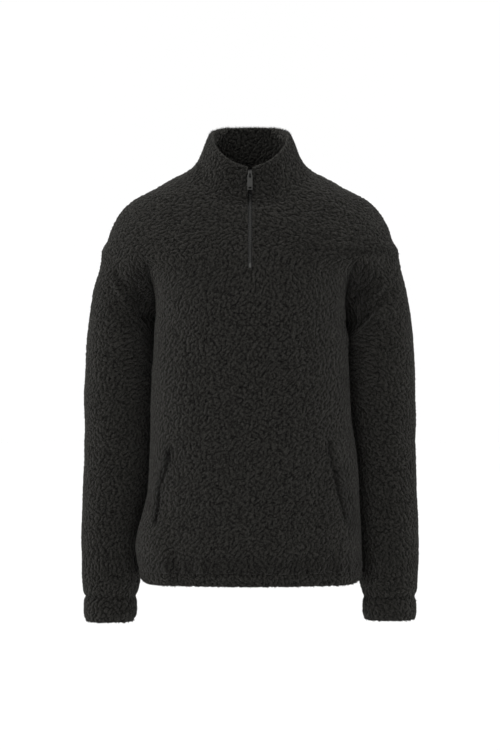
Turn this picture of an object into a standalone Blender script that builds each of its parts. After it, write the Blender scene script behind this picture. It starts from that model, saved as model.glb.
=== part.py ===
"""A sherpa fleece pullover with a quarter zip, hollow and filled out as if it were worn.

Metres, +Z up, front facing -Y. The origin is between the tops of the shoulder seams, where the
wearer carries it. Left and right are the wearer's: left is +X. Tables and sizes are in millimetres.
"""

from collections import namedtuple
from math import pi, radians

import bmesh
import bpy
import numpy as np
from mathutils import Matrix, Vector
from mathutils.bvhtree import BVHTree

MM = 0.001
COLLECTION, CUTTERS = "sherpa_pullover", "cutters"

# Cloth
WALL = 4.5  # backing and pile together
COLLAR_WALL = 9.0  # the collar is doubled
SEAM_GAP = 0.32  # between two pieces that are sewn together
HEM_ROLL = 2.4  # how much thinner the hem band is at its edge
WELT_WALL, WELT_EDGE = 3.0, 1.8  # a pocket welt at its middle and at its edges
LAID_ON = 0.7  # between a panel and what is sewn flat on it

# Heights
SHOULDER_TIP = -142.0  # where the shoulder seam meets the sleeve
UNDERARM = -223.0
HEM_SEAM = -674.0
HEM_EDGE = -694.0
CUFF_SEAM = -721.0
CUFF_EDGE = -759.0
NECK_FRONT = -71.0
NECK_BACK = -3.0

# Zip
SLIT_HALF = 3.6
ZIP_END = -172.0
CHAIN_HALF = 3.2
CHAIN_DEEP = 2.4
CHAIN_SUNK = 1.2  # how far the teeth lie under the face of the pile
CHAIN_START = 3.0  # from the collar's top edge to the first tooth
TAPE_HALF = 14.0
TAPE_WALL = 1.0
TAPE_TAIL = 9.0  # how far the tape runs on behind the cloth under the slit
STOP_HALF, STOP_LONG, STOP_DEEP = 2.0, 7.0, 1.6
ZIP_STEPS = 7  # points down the zip below the neck seam
ZIP_NECK, ZIP_FOOT = 9.0, 1.5  # from the first to the neck seam, and from the last to the slit's end

# Mesh density
FRONT_HALF_COLUMNS = 12
BACK_COLUMNS = 20
SIDE_ROWS = 12
ARMHOLE_ROWS = 12
SHOULDER_ROWS = 5
SLEEVE_ROWS = 14
SLEEVE_CROWD = 1.4  # the sleeve's rows lie closer together near the armhole

# Slices of the body. Above the underarm they take in the drop shoulders.
Slice = namedtuple("Slice", "z left right front back square")
BODY = [
    Slice(*row)
    for row in (
        (-694.0, 184.0, 182.0, 119.0, 113.0, 2.9),
        (-677.0, 189.0, 187.0, 122.0, 116.0, 2.8),
        (-659.0, 189.0, 190.5, 124.0, 118.0, 2.7),
        (-635.0, 188.0, 192.3, 125.0, 118.0, 2.6),
        (-612.0, 187.0, 190.0, 124.0, 117.0, 2.5),
        (-583.0, 185.9, 182.5, 123.0, 115.0, 2.5),
        (-541.0, 184.0, 172.8, 122.0, 113.0, 2.5),
        (-480.0, 180.0, 169.3, 121.0, 111.0, 2.5),
        (-422.0, 171.5, 167.5, 122.0, 111.0, 2.5),
        (-338.0, 167.0, 165.6, 126.0, 115.0, 2.55),
        (-253.0, 163.5, 162.2, 129.0, 120.0, 2.6),
        (-223.0, 162.0, 160.0, 129.0, 122.0, 2.6),
        (-205.0, 165.0, 164.5, 128.4, 123.0, 2.5),
        (-185.0, 176.0, 176.0, 127.3, 124.0, 2.4),
        (-166.0, 205.0, 205.0, 125.6, 124.3, 2.2),
        (-154.0, 236.0, 236.0, 124.2, 124.2, 2.1),
        (-147.0, 248.5, 248.5, 123.2, 124.0, 2.05),
        (-142.0, 250.5, 250.5, 122.4, 123.6, 2.02),
        (-118.0, 240.0, 240.0, 117.6, 120.8, 2.0),
        (-101.0, 234.9, 234.9, 113.2, 117.0, 2.0),
        (-84.5, 226.5, 226.5, 107.8, 111.6, 2.0),
        (-67.6, 214.6, 214.6, 101.0, 104.4, 2.0),
        (-50.7, 196.0, 196.0, 93.0, 95.0, 2.0),
        (-33.8, 163.9, 163.9, 87.0, 86.0, 2.0),
        (-16.9, 133.5, 133.5, 82.0, 77.0, 2.0),
        (-3.0, 106.5, 106.5, 78.0, 70.0, 2.0),
        (2.0, 100.0, 100.0, 76.0, 66.0, 2.0),
    )
]

CHEST_HALF, CHEST_FADE = 70.0, 85.0  # half width of the chest's middle, and where that ends
CHEST_SLOW = 0.42

# The armhole seam, by the angle round the arm: 0 on top, 180 underneath. out is a share of the
# body's half width at that height, and centre is where that row of a panel crosses its middle.
Armhole = namedtuple("Armhole", "angle z out centre")
ARMHOLE = [
    Armhole(*row)
    for row in (
        (0.0, SHOULDER_TIP, 1.0, -106.0),
        (45.0, -145.5, 0.944, -121.0),
        (70.0, -146.5, 0.892, -130.0),
        (90.0, -147.0, 0.829, -138.0),
        (110.0, -149.0, 0.772, -146.0),
        (125.0, -154.0, 0.763, -158.0),
        (140.0, -166.0, 0.834, -178.0),
        (155.0, -185.0, 0.943, -197.0),
        (168.0, -205.0, 0.988, -211.0),
        (180.0, UNDERARM, 1.0, UNDERARM),
    )
]
UNDER_FROM, UNDER_LEAN = 80.0, 1.2  # past this angle the seam's wall leans down, by this much
ROW_BEND = 1.7  # how late a row of a panel drops from its middle to the armhole

# Slices of the sleeves: the outer edge, the edge beside the body on each side, the middle and half
# depth from front to back.
Arm = namedtuple("Arm", "z out in_left in_right middle deep")
SLEEVE = [
    Arm(*row)
    for row in (
        (-759.0, 277.0, 196.0, 197.0, 4.0, 38.0),
        (-754.0, 279.8, 192.5, 193.5, 4.5, 40.5),
        (-744.0, 281.0, 190.8, 191.3, 5.0, 42.0),
        (-727.0, 280.5, 191.5, 192.0, 7.0, 42.0),
        (-721.0, 279.0, 192.5, 193.0, 8.0, 41.5),
        (-710.0, 282.3, 189.5, 189.5, 9.0, 45.0),
        (-693.0, 283.8, 186.0, 186.0, 11.0, 47.0),
        (-676.0, 284.6, 189.9, 187.9, 14.0, 48.0),
        (-655.0, 285.4, 189.6, 191.8, 17.0, 49.0),
        (-625.0, 286.0, 188.2, 192.8, 20.0, 50.0),
        (-583.0, 285.3, 186.2, 184.2, 24.0, 52.0),
        (-541.0, 284.0, 183.4, 172.4, 28.0, 54.0),
        (-473.0, 282.2, 178.2, 168.0, 31.0, 57.0),
        (-389.0, 281.2, 168.4, 165.6, 30.0, 61.0),
        (-321.0, 278.0, 165.7, 164.4, 26.0, 65.0),
        (-287.0, 275.9, 165.2, 164.0, 22.0, 67.0),
        (-253.0, 272.5, 164.9, 163.5, 17.0, 69.0),
        (-220.0, 267.4, 163.2, 161.4, 11.0, 70.0),
        (-203.0, 264.4, 163.5, 161.8, 8.0, 70.0),
        (-186.0, 260.0, 163.0, 161.5, 5.0, 70.0),
        (-169.0, 255.0, 162.5, 161.3, 3.0, 70.0),
        (-152.0, 251.6, 162.0, 161.0, 2.0, 70.0),
        (-142.0, 250.5, 161.5, 161.0, 2.0, 70.0),
    )
]
SLEEVE_SQUARE = 2.2
EASE_IN = 70.0  # below the armhole the sleeve takes on its own section within this length

# The rolled top edge of the collar, by the angle from the centre front
Rim = namedtuple("Rim", "angle x y z")
COLLAR_TOP = [
    Rim(*row)
    for row in (
        (0.0, SLIT_HALF, -84.0, -2.0),
        (20.0, 30.0, -80.0, 9.0),
        (45.0, 51.0, -61.0, 28.0),
        (65.0, 60.0, -37.0, 46.0),
        (90.0, 63.5, -6.0, 61.0),
        (120.0, 58.0, 26.0, 71.0),
        (150.0, 36.0, 47.0, 76.5),
        (180.0, 0.0, 54.0, 77.5),
    )
]
COLLAR_HOLLOW = 5.0  # how far its foot curves in under a straight line
HOLLOW_PEAK = 6.75  # brings the highest value of t (1 - t)^2 to 1
COLLAR_RISE = (0.0, 0.15, 0.35, 0.6, 0.85)  # shares of its height that have points
COLLAR_THICK_BY = 0.4  # the share at which it has its full thickness
COLLAR_BEND = (0, 60, 120, 180)  # angles round its rolled edge that have points

# Pocket welts: the inner line of each, from the top down, and its width
WELT_ROWS = 9
WELT_PROFILE = (WELT_EDGE, WELT_WALL, WELT_WALL, WELT_EDGE)  # thickness across it
Welt = namedtuple("Welt", "x z wide")
WELT_RIGHT = [
    Welt(*row)
    for row in (
        (-131.0, -464.0, 18.0),
        (-134.5, -487.0, 17.5),
        (-141.0, -510.0, 16.0),
        (-149.5, -537.0, 14.0),
        (-153.0, -570.0, 12.0),
        (-158.0, -598.0, 8.0),
    )
]
WELT_LEFT = [
    Welt(*row)
    for row in (
        (128.0, -450.0, 22.0),
        (134.0, -487.0, 21.0),
        (141.0, -520.0, 19.0),
        (149.0, -556.0, 16.0),
        (159.0, -590.0, 9.0),
    )
]

# Soft troughs in the cloth, or ridges where deep is negative: a line on the front (-1) or the
# back (1), its width and its depth
Fold = namedtuple("Fold", "face x1 z1 x2 z2 wide deep")
FOLDS = [
    Fold(*row)
    for row in (
        (-1, -222, -178, -174, -246, 12, 6.0),
        (-1, -240, -208, -192, -262, 12, 3.5),
        (-1, -172, -250, -168, -320, 11, 3.5),
        (-1, 226, -178, 198, -204, 11, 4.0),
        (-1, 234, -208, 172, -262, 12, 6.5),
        (-1, 216, -252, 174, -286, 10, -2.5),
        (-1, 248, -254, 196, -306, 14, 3.0),
        (1, -228, -185, -186, -230, 13, 5.5),
        (1, 230, -190, 190, -236, 13, 5.5),
        (1, -245, -250, -195, -285, 15, 4.0),
        (1, 246, -262, 198, -300, 15, 4.0),
        (-1, -262, -470, -205, -492, 16, 3.0),
        (-1, 258, -500, 210, -515, 16, 3.0),
        (1, -262, -440, -205, -455, 15, 4.0),
        (1, 262, -455, 205, -475, 15, 4.0),
        (1, -262, -490, -210, -478, 15, 3.5),
        (1, 262, -505, 210, -495, 15, 3.5),
    )
]
FOLD_ROUND = 50.0  # depth over which a fold of the front hands over to the back's
GATHER_TALL, GATHER_CLEAR = 34.0, 6.0  # the gathers' height, and how near the seam they start
GATHER_DEEP = 1.1

# The hem band and the cuffs, from the seam down
HEM_LEVELS = (HEM_SEAM - SEAM_GAP, -680.0, -689.0, HEM_EDGE)
CUFF_LEVELS = (CUFF_SEAM - SEAM_GAP, -728.0, -752.0, CUFF_EDGE)

# Slider and pull tab, in the slider's own axes: across, down the zip, and out from the cloth
HINGE_DOWN = 12.4  # from the collar's top edge to the hinge line, down the zip
HINGE_OUT = 4.3  # from the collar's face to the hinge line
SLIDER_WIDE, SLIDER_THICK = 6.8, 2.2
SLIDER_ABOVE, SLIDER_BELOW = 8.3, 5.5  # from the hinge line to the slider's ends
SLIDER_LIFT = 0.4  # from the collar's face to the slider's
SLIDER_BEVEL, TAB_BEVEL = 0.6, 0.45
BAIL_WIDE, BAIL_WIRE = 2.0, 1.0
BAIL_HALF, BAIL_RISE = 2.7, 2.6  # from the hinge line to the bail's outside
BAIL_SUNK = 0.5  # how far the bail's feet go into the slider
BAIL_FLOOR = 1.7  # from the hinge line to the floor of the bail's eye
TAB_WIDE, TAB_LONG, TAB_THICK = 8.4, 25.2, 1.6
TAB_BAR = 0.8  # from the hinge line to the tab's top edge
TAB_WINDOW_WIDE, TAB_WINDOW_END = 3.6, 4.6
TAB_SLOT_WIDE, TAB_SLOT_LONG, TAB_SLOT_MIDDLE = 4.8, 3.3, 21.0

# Name, colour, roughness and metallic value of each material
CLOTH = ("sherpa", (0.019, 0.018, 0.017), 0.95, 0.0)
ZIP_TAPE = ("zip_tape", (0.018, 0.018, 0.017), 0.85, 0.0)
ZIP_METAL = ("zip_metal", (0.11, 0.11, 0.105), 0.38, 1.0)


# ---------------------------------------------------------------- curves and slices


def smooth(knots, values, at):
    """Values at `at` of a smooth curve through the knots, which never overshoots them."""
    knots, values, at = (np.asarray(v, float) for v in (knots, values, at))
    step = np.diff(knots)
    rise = np.diff(values) / step
    slope = np.concatenate([rise[:1], np.zeros(len(knots) - 2), rise[-1:]])
    before, after = 2 * step[1:] + step[:-1], step[1:] + 2 * step[:-1]
    turns = rise[:-1] * rise[1:] <= 0
    safe = np.where(turns, 1.0, rise[:-1]), np.where(turns, 1.0, rise[1:])
    slope[1:-1] = np.where(
        turns, 0.0, (before + after) / (before / safe[0] + after / safe[1])
    )
    i = np.clip(np.searchsorted(knots, at) - 1, 0, len(step) - 1)
    t = np.clip((at - knots[i]) / step[i], 0.0, 1.0)
    rest = 1 - t
    return (
        values[i] * (1 + 2 * t) * rest**2
        + values[i + 1] * (3 - 2 * t) * t**2
        + step[i] * (slope[i] * t * rest**2 - slope[i + 1] * rest * t**2)
    )


def column(table, name, at, key="z"):
    return smooth(
        [getattr(r, key) for r in table], [getattr(r, name) for r in table], at
    )


def ease(t):
    t = np.clip(t, 0.0, 1.0)
    return t * t * (3 - 2 * t)


def unit(v):
    return v / np.maximum(np.linalg.norm(v, axis=-1, keepdims=True), 1e-9)


def body_slice(x, z):
    """Half width, half depth to the front and to the back, and squareness of the body at x and z.
    The drop shoulders run out quickly beside the armhole and slowly over the chest and back."""
    middle = 1 - ease((np.abs(x) - CHEST_HALF) / CHEST_FADE)
    slower = 1 - (1 - CHEST_SLOW) * middle
    level = np.where(z < SHOULDER_TIP, SHOULDER_TIP + (z - SHOULDER_TIP) * slower, z)
    level = np.maximum(level, np.minimum(z, UNDERARM))
    half = np.where(x > 0, column(BODY, "left", level), column(BODY, "right", level))
    return half, column(BODY, "front", z), column(BODY, "back", z), column(BODY, "square", level)


def body_on(x, z, face):
    """The point of the body's outside at x and z."""
    x, z = np.broadcast_arrays(x, z)
    half, front, back, square = body_slice(x, z)
    share = np.clip(np.abs(x) / half, 0, 1)
    y = (back if face > 0 else -front) * (1 - share**square) ** (1 / square)
    return np.stack(np.broadcast_arrays(x, y, z), -1)


def body_point(turn, z, face):
    """A point of the body's outside. turn is -1 at the right side, 0 at the centre, 1 at the left."""
    side = np.where(turn > 0, column(BODY, "left", z), column(BODY, "right", z))
    out = np.maximum(np.sin(np.abs(turn) * pi / 2), 0) ** (2 / column(BODY, "square", z))
    return body_on(np.sign(turn) * side * out, z, face)


def body_level(p):
    half, front, back, square = body_slice(p[..., 0], p[..., 2])
    deep = np.abs(p[..., 1]) / np.where(p[..., 1] > 0, back, front)
    return (np.abs(p[..., 0]) / half) ** square + deep**square


def body_out(p):
    """The direction straight out of the body's outside at p."""
    reach = np.eye(3) * 0.5
    steep = [body_level(p + reach[i]) - body_level(p - reach[i]) for i in range(3)]
    return unit(np.stack(steep, -1))


def turn_of(out, z):
    """The turn at which a slice has reached this share of its half width."""
    return np.arcsin(np.clip(out, 0, 1) ** (column(BODY, "square", z) / 2)) / (pi / 2)


def even_turns(share):
    """Turns that are evenly spaced along the cloth of the waist, for shares from 0 to 1."""
    fine = np.linspace(0, 1, 400)
    points = body_point(fine, np.full(400, -400.0), -1)
    along = np.concatenate([[0], np.cumsum(np.linalg.norm(np.diff(points, axis=0), axis=1))])
    return np.interp(share, along / along[-1], fine)


# ---------------------------------------------------------------- folds


def to_line(px, pz, f):
    dx, dz = f.x2 - f.x1, f.z2 - f.z1
    t = np.clip(((px - f.x1) * dx + (pz - f.z1) * dz) / (dx * dx + dz * dz), 0, 1)
    return np.hypot(px - f.x1 - t * dx, pz - f.z1 - t * dz)


def fold_depth(p):
    """How far the troughs pull the cloth in at p."""
    total = np.zeros(p.shape[:-1])
    for f in FOLDS:
        away = to_line(p[..., 0], p[..., 2], f)
        facing = np.clip(0.5 + f.face * p[..., 1] / FOLD_ROUND, 0, 1)
        total += f.deep * facing * np.exp(-((away / f.wide) ** 2))
    return total


def gather_depth(share, z, count):
    """The small gathers that the hem band draws up."""
    above = z - HEM_SEAM
    fade = ease(above / GATHER_CLEAR) * (1 - ease((above - GATHER_CLEAR) / GATHER_TALL))
    return GATHER_DEEP * fade * np.cos(pi * count * share)


# ---------------------------------------------------------------- panels of the body


def armhole_end(angle):
    """(turn, height) of the armhole seam at an angle round the arm."""
    z = column(ARMHOLE, "z", angle, key="angle")
    return turn_of(column(ARMHOLE, "out", angle, key="angle"), z), z


def panel_shares(face):
    """Shares of a row's half, from -1 to 1, at which a panel has its columns. The front has two
    columns of share 0, one at each edge of the zip's slit."""
    if face > 0:
        return np.linspace(-1, 1, BACK_COLUMNS + 1)
    half = np.linspace(0, 1, FRONT_HALF_COLUMNS + 1)
    return np.concatenate([-half[::-1], half])


def neck_seam(share, face):
    """(turn, height) of the neck seam, for shares from 0 at the centre to 1 at the shoulder."""
    angle = share * pi / 2
    z = (NECK_FRONT if face < 0 else NECK_BACK) * np.cos(angle)
    x = column(BODY, "left", 0.0) * np.sin(angle)
    return turn_of(x / column(BODY, "left", z), z), z


def panel_map(share, face):
    """(turn, height) of a panel's points, rows from the hem up, for shares from 0 to 1."""
    even = even_turns(share)
    side = HEM_SEAM + (UNDERARM - HEM_SEAM) * np.linspace(0, 1, SIDE_ROWS + 1)[:-1, None]
    angle = np.linspace(180, 0, ARMHOLE_ROWS + 1)[:, None]
    end_turn, end_z = armhole_end(angle)
    centre = column(ARMHOLE, "centre", angle, key="angle")
    arm_turn = end_turn * even
    arm_z = centre + (end_z - centre) * share**ROW_BEND
    up = np.linspace(0, 1, SHOULDER_ROWS + 1)[1:, None]
    neck_turn, neck_z = neck_seam(share, face)
    turn = [0 * side + even, arm_turn, arm_turn[-1] * (1 - up) + neck_turn * up]
    height = [side + 0 * even, arm_z, arm_z[-1] * (1 - up) + neck_z * up]
    return np.concatenate(turn), np.concatenate(height)


def panel(face):
    """The outside of a panel before its seams are set back: points, and directions out of it."""
    share = panel_shares(face)
    turn, z = panel_map(np.abs(share), face)
    side = np.sign(share)
    if face < 0:
        side = np.where(np.arange(share.size) <= FRONT_HALF_COLUMNS, -1.0, 1.0)
        slit = turn_of(SLIT_HALF / column(BODY, "left", z), z)
        turn = np.where(share == 0, slit, turn)
    points = body_point(side * turn, z, face)
    out = body_out(points)
    inside = np.ones_like(z)
    inside[:, [0, -1]] = 0.0
    inside[[0, -1], :] = 0.0
    count = FRONT_HALF_COLUMNS if face < 0 else BACK_COLUMNS / 2
    move = gather_depth(np.broadcast_to(share, z.shape), z, count) - fold_depth(points) * inside
    return points + out * move[..., None], out


def armhole(side, face):
    """The armhole seam of one half: points, shared directions out, and directions towards the body."""
    angle = np.linspace(180, 0, ARMHOLE_ROWS + 1)
    turn, z = armhole_end(angle)
    points = body_point(side * turn, z, face)
    if face > 0:
        points[:, 1] = np.abs(points[:, 1])
    own = sleeve_out(angle, z, side, face)
    under = ease((angle - UNDER_FROM) / (180.0 - UNDER_FROM))[:, None]
    out = unit(body_out(points) + own - np.array([0, 0, UNDER_LEAN]) * under)
    out[[0, -1], 1] = 0.0
    out = unit(out)
    along = np.gradient(points, axis=0)
    along[[0, -1], 0] = 0.0
    along[[0, -1], 2] = 0.0
    inward = unit(np.cross(out, unit(along)))
    inward *= np.where((inward[-1:, 2:] > 0), 1.0, -1.0)
    return points, out, inward


# ---------------------------------------------------------------- sleeves


def sleeve_point(angle, z, side, face):
    """A point of the sleeve's own section. angle is in degrees, 0 at the outer edge."""
    out = column(SLEEVE, "out", z)
    near = column(SLEEVE, "in_left" if side > 0 else "in_right", z)
    half, middle = (out - near) / 2, (out + near) / 2
    cosine, sine = np.cos(np.radians(angle)), np.sin(np.radians(angle))
    power = 2 / SLEEVE_SQUARE
    x = middle + half * np.sign(cosine) * np.abs(cosine) ** power
    y = column(SLEEVE, "middle", z) + face * column(SLEEVE, "deep", z) * np.abs(sine) ** power
    return np.stack(np.broadcast_arrays(side * x, y, z), -1)


def sleeve_out(angle, z, side, face):
    out = column(SLEEVE, "out", z)
    near = column(SLEEVE, "in_left" if side > 0 else "in_right", z)
    half, deep = (out - near) / 2, column(SLEEVE, "deep", z)
    across = side * np.cos(np.radians(angle)) / half
    ahead = face * np.abs(np.sin(np.radians(angle))) / deep
    return unit(np.stack([across, ahead, np.zeros_like(across)], -1))


def both(front, back):
    """A ring from its front half and its back half, both from underneath to the top."""
    return np.concatenate([front, back[-2:0:-1]])


def sleeve(side):
    """The outside of a sleeve, rows from the armhole down, and its inside."""
    angle = np.linspace(180, 0, ARMHOLE_ROWS + 1)
    halves = [armhole(side, face) for face in (-1, 1)]
    seam, out, inward = (both(*pair) for pair in zip(*halves))
    along = np.linspace(0, 1, SLEEVE_ROWS + 1) ** SLEEVE_CROWD
    rings = []
    for share in along:
        ring = []
        for face in (-1, 1):
            start = halves[0 if face < 0 else 1][0]
            z = start[:, 2] + (CUFF_SEAM - start[:, 2]) * share
            own = sleeve_point(angle, z, side, face)
            miss = start - sleeve_point(angle, start[:, 2], side, face)
            fade = 1 - ease((start[:, 2] - z) / EASE_IN)
            ring.append(own + miss * fade[:, None] * np.array([1, 1, 0]))
        rings.append(both(*ring))
    outer = np.array(rings)
    normals = ring_normals(outer)
    free = np.ones(len(outer))
    free[[0, -1]] = 0.0
    outer = outer - normals * (fold_depth(outer) * free[:, None])[..., None]
    inner = outer - normals * WALL
    outer[0] = seam - inward * SEAM_GAP / 2
    inner[0] = outer[0] - out * WALL
    cuff_out = unit(np.stack([normals[-1, :, 0], normals[-1, :, 1], 0 * seam[:, 0]], -1))
    inner[-1] = outer[-1] - cuff_out * WALL
    return outer, inner, cuff_out


def ring_normals(grid):
    """Directions out of a tube of rings, from its own points."""
    round_it = np.roll(grid, -1, axis=1) - np.roll(grid, 1, axis=1)
    normals = unit(np.cross(round_it, np.gradient(grid, axis=0)))
    centre = grid.mean(axis=1, keepdims=True)
    return normals * np.sign(((grid - centre) * normals).sum(axis=(1, 2), keepdims=True))


def cuff(side, top, out):
    """A cuff below the last ring of its sleeve: outside and inside, rows from the seam down."""
    angle = np.linspace(180, 0, ARMHOLE_ROWS + 1)
    outer = []
    for level in CUFF_LEVELS:
        z = np.full(len(angle), level)
        outer.append(both(*(sleeve_point(angle, z, side, face) for face in (-1, 1))))
    outer = np.array(outer)
    outer[0, :, :2] = top[:, :2]
    inner = outer - out[None] * WALL
    return outer, inner


# ---------------------------------------------------------------- collar


def collar_base(front, back):
    """The neck seam from the left edge of the slit round the back to the right edge."""
    middle = FRONT_HALF_COLUMNS + 1
    return np.concatenate([front[middle:], back[-2:0:-1], front[:middle]])


def collar_angles():
    half = even_turns(np.linspace(0, 1, FRONT_HALF_COLUMNS + 1)) * 90
    back = even_turns(np.linspace(1, 0, BACK_COLUMNS // 2 + 1)) * 90
    left = np.concatenate([half, (180 - back)[1:]])
    return left


def collar_frame(base):
    """For each column of the collar: its rolled edge, and the directions up it and out of it."""
    angle = collar_angles()
    left = np.stack([column(COLLAR_TOP, n, angle, key="angle") for n in "xyz"], -1)
    right = left[-2::-1] * np.array([-1, 1, 1])
    top = np.concatenate([left, right])
    up = unit(top - base)
    round_it = np.gradient(top, axis=0) + np.gradient(base, axis=0)
    round_it[[0, -1], 1:] = 0.0
    out = unit(np.cross(unit(round_it), up))
    out *= np.sign((out * (base - base.mean(axis=0))).sum())
    return top, up, out


def collar_loops(base, seam_out, top, up, out):
    """Closed loops of points across the collar, one a column: up the outside and down the inside."""
    roll = COLLAR_WALL / 2
    edge = top - up * roll + out * roll
    outside, inside = [], []
    for share in COLLAR_RISE:
        hollow = COLLAR_HOLLOW * HOLLOW_PEAK * share * (1 - share) ** 2
        point = base + (edge - base) * share - out * hollow
        thick = WALL + (COLLAR_WALL - WALL) * ease(share / COLLAR_THICK_BY)
        outside.append(point)
        inside.append(point - out * thick)
    inside[0] = base - seam_out * WALL
    centre = top - up * roll
    bend = [centre + roll * (out * np.cos(b) + up * np.sin(b)) for b in np.radians(COLLAR_BEND)]
    return np.stack(outside + bend + inside[::-1], axis=1)


# ---------------------------------------------------------------- meshes


def material(name, colour, rough, metal):
    made = bpy.data.materials.get(name) or bpy.data.materials.new(name)
    made.use_nodes = True
    shader = made.node_tree.nodes["Principled BSDF"]
    shader.inputs["Base Color"].default_value = (*colour, 1.0)
    shader.inputs["Roughness"].default_value = rough
    shader.inputs["Metallic"].default_value = metal
    return made


def add_object(name, points, faces, look, sharp=40.0):
    """An object from points in millimetres, its faces turned outwards."""
    mesh = bpy.data.meshes.new(name)
    mesh.from_pydata((np.asarray(points, float) * MM).tolist(), [], faces)
    shape = bmesh.new()
    shape.from_mesh(mesh)
    bmesh.ops.triangulate(shape, faces=shape.faces, quad_method="SHORT_EDGE")
    bmesh.ops.recalc_face_normals(shape, faces=shape.faces)
    if shape.calc_volume(signed=True) < 0:
        bmesh.ops.reverse_faces(shape, faces=shape.faces)
    shape.to_mesh(mesh)
    shape.free()
    mesh.shade_smooth()
    mesh.set_sharp_from_angle(angle=radians(sharp))
    mesh.materials.append(material(*look))
    made = bpy.data.objects.new(name, mesh)
    bpy.data.collections[COLLECTION].objects.link(made)
    return made


def add_wall(name, outer, inner, look, wrap=False, keep=None):
    """A closed wall of cloth between two grids of points. keep marks the cells that are cloth."""
    rows, columns = outer.shape[:2]
    cells = columns if wrap else columns - 1
    keep = np.ones((rows - 1, cells), bool) if keep is None else keep
    layer = rows * columns

    def corner(i, j):
        return i * columns + j % columns

    def kept(i, j):
        j = j % cells if wrap else j
        return 0 <= i < rows - 1 and 0 <= j < cells and keep[i, j]

    faces = []
    for i, j in zip(*np.nonzero(keep)):
        ring = (corner(i, j), corner(i, j + 1), corner(i + 1, j + 1), corner(i + 1, j))
        beside = (kept(i - 1, j), kept(i, j + 1), kept(i + 1, j), kept(i, j - 1))
        faces.append(ring)
        faces.append(tuple(layer + v for v in reversed(ring)))
        for k, has_neighbour in enumerate(beside):
            if not has_neighbour:
                a, b = ring[k], ring[(k + 1) % 4]
                faces.append((b, a, layer + a, layer + b))
    points = np.concatenate([outer.reshape(-1, 3), inner.reshape(-1, 3)])
    used, index = np.unique([v for f in faces for v in f], return_inverse=True)
    faces = index.reshape(-1, 4).tolist()
    return add_object(name, points[used], faces, look)


def add_loft(name, loops, look):
    """A closed solid from loops of points in a row, with an end face on the first and the last."""
    count, around = loops.shape[:2]
    faces = []
    for i in range(count - 1):
        for k in range(around):
            n = (k + 1) % around
            faces.append((i * around + k, i * around + n, (i + 1) * around + n, (i + 1) * around + k))
    faces.append(tuple(reversed(range(around))))
    faces.append(tuple((count - 1) * around + k for k in range(around)))
    return add_object(name, loops.reshape(-1, 3), faces, look)


# ---------------------------------------------------------------- pieces of cloth


def seam_panels():
    """Both panels with their seams set back: name -> (outside, inside), and the neck seam."""
    grids, necks = {}, {}
    for name, face in (("front_body", -1), ("back_body", 1)):
        outer, out = panel(face)
        inner = outer - out * WALL
        first, last = SIDE_ROWS, SIDE_ROWS + ARMHOLE_ROWS
        for side, edge in ((-1, 0), (1, -1)):
            points, seam_out, inward = armhole(side, face)
            outer[first : last + 1, edge] = points + inward * SEAM_GAP / 2
            inner[first : last + 1, edge] = outer[first : last + 1, edge] - seam_out * WALL
            at_side = np.r_[0 : first + 1, last : len(outer)]
            outer[at_side, edge, 1] = face * SEAM_GAP / 2
            inner[at_side, edge, 1] = face * SEAM_GAP / 2
        grids[name] = (outer, inner)
        necks[name] = (outer[-1].copy(), out[-1].copy())
    return grids, necks


def build_cloth():
    grids, necks = seam_panels()
    base = collar_base(necks["front_body"][0], necks["back_body"][0])
    base[:, 1] = np.where(np.abs(base[:, 1]) < SEAM_GAP, 0.0, base[:, 1])
    body_side = collar_base(necks["front_body"][1], necks["back_body"][1])
    top, up, out = collar_frame(base)
    seam_out = unit(body_side + out)
    lift = unit(np.cross(seam_out, unit(np.gradient(base, axis=0))))
    lift *= np.sign(lift[:, 2:].sum())
    lift[[0, -1], 0] = 0.0
    seam_out[[0, -1], 0] = 0.0
    loops = collar_loops(base + lift * SEAM_GAP * 1.5, seam_out, top, up, out)
    add_loft("collar", loops, CLOTH)

    middle = FRONT_HALF_COLUMNS + 1
    left, back, right = seam_out[:middle], seam_out[middle - 1 : -middle + 1], seam_out[-middle:]
    shared = {"front_body": np.concatenate([right, left]), "back_body": back[::-1]}
    for name, (outer, inner) in grids.items():
        inner[-1] = outer[-1] - shared[name] * WALL
        inner[-1, [0, -1], 1] = outer[-1, [0, -1], 1]
    front_outer, front_inner = grids["front_body"]
    keep = np.ones((len(front_outer) - 1, front_outer.shape[1] - 1), bool)
    keep[slit_row(front_outer) :, FRONT_HALF_COLUMNS] = False
    front = add_wall("front_body", front_outer, front_inner, CLOTH, keep=keep)
    pocket_welt("pocket_welt_right", WELT_RIGHT, front)
    pocket_welt("pocket_welt_left", WELT_LEFT, front)
    add_wall("back_body", *grids["back_body"], CLOTH)

    for side, word in ((1, "left"), (-1, "right")):
        outer, inner, cuff_out = sleeve(side)
        add_wall(f"sleeve_{word}", outer, inner, CLOTH, wrap=True)
        add_wall(f"cuff_{word}", *cuff(side, outer[-1], cuff_out), CLOTH, wrap=True)
    return loops


def slit_row(front_outer):
    """The row of the front at which the slit ends."""
    return np.argmin(np.abs(front_outer[:, FRONT_HALF_COLUMNS, 2] - ZIP_END))


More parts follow.
